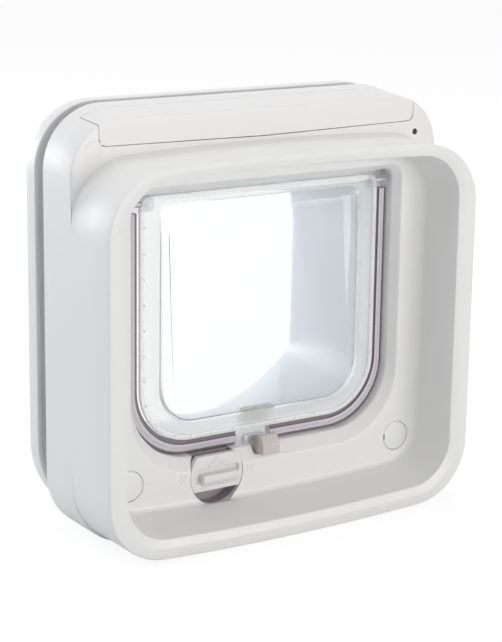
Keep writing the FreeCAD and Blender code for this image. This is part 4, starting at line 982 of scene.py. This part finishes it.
# %% [markdown]
# ## Magnet holder, magnets and catch
# A ribbed pocket of clear plastic at the flap's foot holds a small magnet, which meets another in the frame and
# centres the flap. Beside that one the catch rises to lock it: a ramp in front, a neck through the bevel and a
# plunger into its coil, all one piece, so its side view is drawn once and stretched across its width.


# %% Holder, magnets and catch
def stretched(name, points, x0, x1, material, bevel=0.4):
    """Side view (depth, height) stretched from one X to the other, with softened edges."""
    rings = [np.array([(x, y, z) for y, z in points]) for x in (x0, x1)]
    piece = solid(name, skin(rings), material, smooth=30)
    return rounded(piece, bevel, angle=25) if bevel else piece


holder = [block("holder", (-9, 37.55, 46), (9, 41.2, 56), ribbed_plastic, 0.5)]
for x in (-5, 0, 5):
    holder.append(block("holder_rib", (x - 0.8, 40.9, 47), (x + 0.8, 41.25, 55), ribbed_plastic, 0.2))
holder = joined("holder_block", holder)
flap_magnet = block("magnet_bar", (-4.9, 38.7, 46.05), (4.9, 40.6, 52.9), nickel, 0.3)
frame_magnet = block("frame_bar", (-8.9, 35.2, 36.6), (2.9, 39.1, 42.7), nickel, 0.4)
catch_view = [(24, 34.6), (31, 34.6), (31, 24), (42.4, 24), (42.4, 26.9), (33.8, 26.9), (33.8, 38.2)]
catch_view += [(29, 38.2), (29, 44.2), (26.6, 44.2), (24, 39.7)]
catch = stretched("catch", catch_view, -5, 5, latch_plastic)
stem = [(11.6, 2.1), (12.1, 2.4), (24.5, 2.4)]
turns = [math.tau * j / 32 for j in range(32)]
rings = [np.array([(r * math.cos(a), 40 + r * math.sin(a), z) for a in turns]) for z, r in stem]
catch = joined("catch_whole", [catch, solid("plunger", skin(rings), latch_plastic)])
for piece, body, node, slot in (
    (holder, "swinging_flap", "magnet_holder", "clear_plastic_ribbed"),
    (flap_magnet, "swinging_flap", "flap_magnet", "magnet_plating"),
    (frame_magnet, "housing", "frame_magnet", "magnet_plating"),
    (catch, "catch", "latch", "latch_plastic"),
):
    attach(piece, body)
    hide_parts(node)
print("catch:", len(catch.data.polygons), "faces")

# %% [markdown]
# ## Turn lock
# The knob is a disc with two flats, so that each quarter turn lifts or drops a stop in front of the flap. A bar
# grip stands across it and a small triangle points at the chosen setting. A disc cut by two blocks, then
# bevelled, gives the flats a crisp but soft edge.

# %% Knob, cam and covers
KNOB_FRONT = 27.15
face = disc("knob_face", LOCK_X, LOCK_Z, LOCK_R, KNOB_FRONT, 30.15, knob_plastic, sides=96)
upper = block("upper", (LOCK_X - 20, 20, LOCK_Z + 10.2), (LOCK_X + 20, 34, LOCK_Z + 20), knob_plastic)
lower = block("lower", (LOCK_X - 20, 20, LOCK_Z - 20), (LOCK_X + 20, 34, LOCK_Z - 7.5), knob_plastic)
trough_low, trough_high = (LOCK_X - 12.6, 25, LOCK_Z - 3.4), (LOCK_X + 12.9, 28.9, LOCK_Z + 4.1)
trough = block("trough", trough_low, trough_high, knob_plastic, 1.4)
cut(face, upper, lower, trough)
rounded(face, 0.4, angle=35)
grip_view = [(29.2, -4.2), (27.3, -5.6), (25.3, -2.9), (24.75, -2.0), (24.75, 0.2), (25.2, 0.9), (29.2, 1.3)]
grip_view = [(y, LOCK_Z + z) for y, z in grip_view]
grip = stretched("grip", grip_view, LOCK_X - 8.8, LOCK_X + 12.2, knob_plastic, 0.5)
tip = np.array([(-5.2, 4.6), (5.2, 4.6), (0, 9.3)]) + (LOCK_X, LOCK_Z)
inner_tip = np.array([(-3.9, 5.25), (3.9, 5.25), (0, 8.3)]) + (LOCK_X, LOCK_Z)
mark = [at(tip, 27.3), at(tip, 26.7), at(inner_tip, 26.7), at(inner_tip, 27.3)]
arrow = solid("arrow", skin(mark, loop=True), knob_plastic, smooth=20)
shaft = disc("shaft", LOCK_X, LOCK_Z, 5, 30, 41.1, knob_plastic, sides=40)
knob = joined("knob", [face, grip, arrow, shaft])
cam = disc("cam", LOCK_X, LOCK_Z, 19, 41.1, 43.9, white_plastic, sides=96)
above = block("above", (LOCK_X - 25, 40, LOCK_Z + 9.2), (LOCK_X + 25, 46, LOCK_Z + 25), white_plastic)
beside = block("beside", (LOCK_X + 9.2, 40, LOCK_Z - 25), (LOCK_X + 25, 46, LOCK_Z + 25), white_plastic)
cut(cam, above, beside)
rounded(cam, 0.4, angle=40)
pivot = disc("pivot", LOCK_X, LOCK_Z, 3, 43.5, 47, white_plastic, sides=32)
cam = joined("cam_whole", [cam, pivot])
for piece, node, slot in ((knob, "lock_knob", "knob_plastic"), (cam, "lock_cam", "white_plastic")):
    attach(piece, "turn_lock")
    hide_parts(node)

covers = []
for side in (-1, 1):
    cover = disc("cap", side * SCREW_X, COVER_Z, 7.5, 26.95, 29.15, white_plastic, soft_edge=0.35)
    x = side * SCREW_X - 7.2
    pry = block("pry", (x - 1, 26, COVER_Z - 1.3), (x + 0.5, 30, COVER_Z + 1.3), white_plastic)
    covers.append(cut(cover, pry))
covers = joined("covers", covers)
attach(covers, "housing")
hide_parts("screw_covers")
print("knob:", len(knob.data.polygons), "faces, covers:", len(covers.data.polygons))

# %% [markdown]
# ## Battery cover
# The cover continues the body's own surface: a front wall, a soft brow and a top that slopes up to the rear,
# bending down with the body's corners at both ends. Each station across the width follows the body's outline
# there, and a Solidify modifier gives the wall, which keeps the thickness even round the brow.

# %% Battery cover
LID_HALF, LID_REAR, LID_FOOT, LID_CORNER, LID_WALL = 90.3, 53.3, 192.75, 3.5, 2.2


def top_of_body(x, y):
    """Height of the body's surface over a point of the ground."""
    head, radius = body_head(y)
    reach = abs(x) - (HALF - radius)
    return head if reach <= 0 else head - radius + math.sqrt(radius * radius - reach * reach)


stations = []
across_lid = [np.linspace(-LID_HALF, -75, 14), np.linspace(-70, 70, 15), np.linspace(75, LID_HALF, 14)]
for x in np.concatenate(across_lid):
    sag = LID_FOOT + 1.2 * abs(x) / LID_HALF
    brow = top_of_body(x, FRONT_OF_BODY)
    end = max(0.0, (abs(x) - LID_HALF + LID_CORNER) / LID_CORNER)
    sag += LID_CORNER * (1 - math.sqrt(max(0.0, 1 - end * end)))
    view = [(FRONT_OF_BODY, z) for z in np.linspace(sag, brow - LEDGE_SOFT, 6)]
    for (c, s), proud in zip(arc(22.5, 45, 67.5, 90), (0.05, 0.05, 0.05, 0.12)):
        view.append((FRONT_OF_BODY + LEDGE_SOFT - LEDGE_SOFT * c, brow - LEDGE_SOFT + LEDGE_SOFT * s + proud))
    view += [(y, top_of_body(x, y)) for y in np.linspace(39, LID_REAR, 6)]
    stations.append([(x, y, z) for y, z in view])
width, long = len(stations), len(stations[0])
points = [p for station in stations for p in station]
faces = [(i * long + j, (i + 1) * long + j, (i + 1) * long + j + 1, i * long + j + 1)
         for i in range(width - 1) for j in range(long - 1)]
lid = solid("lid", (points, faces), white_plastic)
facing = lid.data.polygons[0].normal.y
thick = lid.modifiers.new("wall", "SOLIDIFY")
thick.thickness = LID_WALL / 1000
thick.offset = -1 if facing < 0 else 1
thick.use_even_offset = False
graph = bpy.context.evaluated_depsgraph_get()
lid_mesh = bpy.data.meshes.new_from_object(lid.evaluated_get(graph))
lid.modifiers.clear()
lid.data = lid_mesh
chevron = [(-9, 38.6), (-5, 40.6), (-1, 38.6), (-1, 39.4), (-5, 41.4), (-9, 39.4)]
mark_low = np.array([(x, y, top_of_body(x, y) - 0.3) for x, y in chevron])
mark_high = mark_low + (0, 0, 0.42)
lid = joined("lid_whole", [lid, solid("chevron", skin([mark_low, mark_high]), white_plastic, smooth=20)])
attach(lid, "cover")
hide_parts("battery_cover")
print("cover:", len(lid.data.polygons), "faces")

# %% [markdown]
# ## What stays as it was packed
# Screws, cells, contacts, board and coil have the right shapes already, so they only get their finishes.

# %% Finishes of the other nodes
finishes = {
    "lock_screw": steel, "fixing_screws": steel, "case_screws": steel, "battery_contacts": steel,
    "latch_coil": black_tape, "battery_tray": white_plastic, "battery_cells": cell_wrap,
    "control_board": board_green, "board_parts": chip_black, "antenna_coil": copper, "led_lens": smoked,
    "setup_button": button_plastic,
}
for name, material in finishes.items():
    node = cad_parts[name]
    node.data.materials.clear()
    node.data.materials.append(material)
print("carried over:", len(finishes))
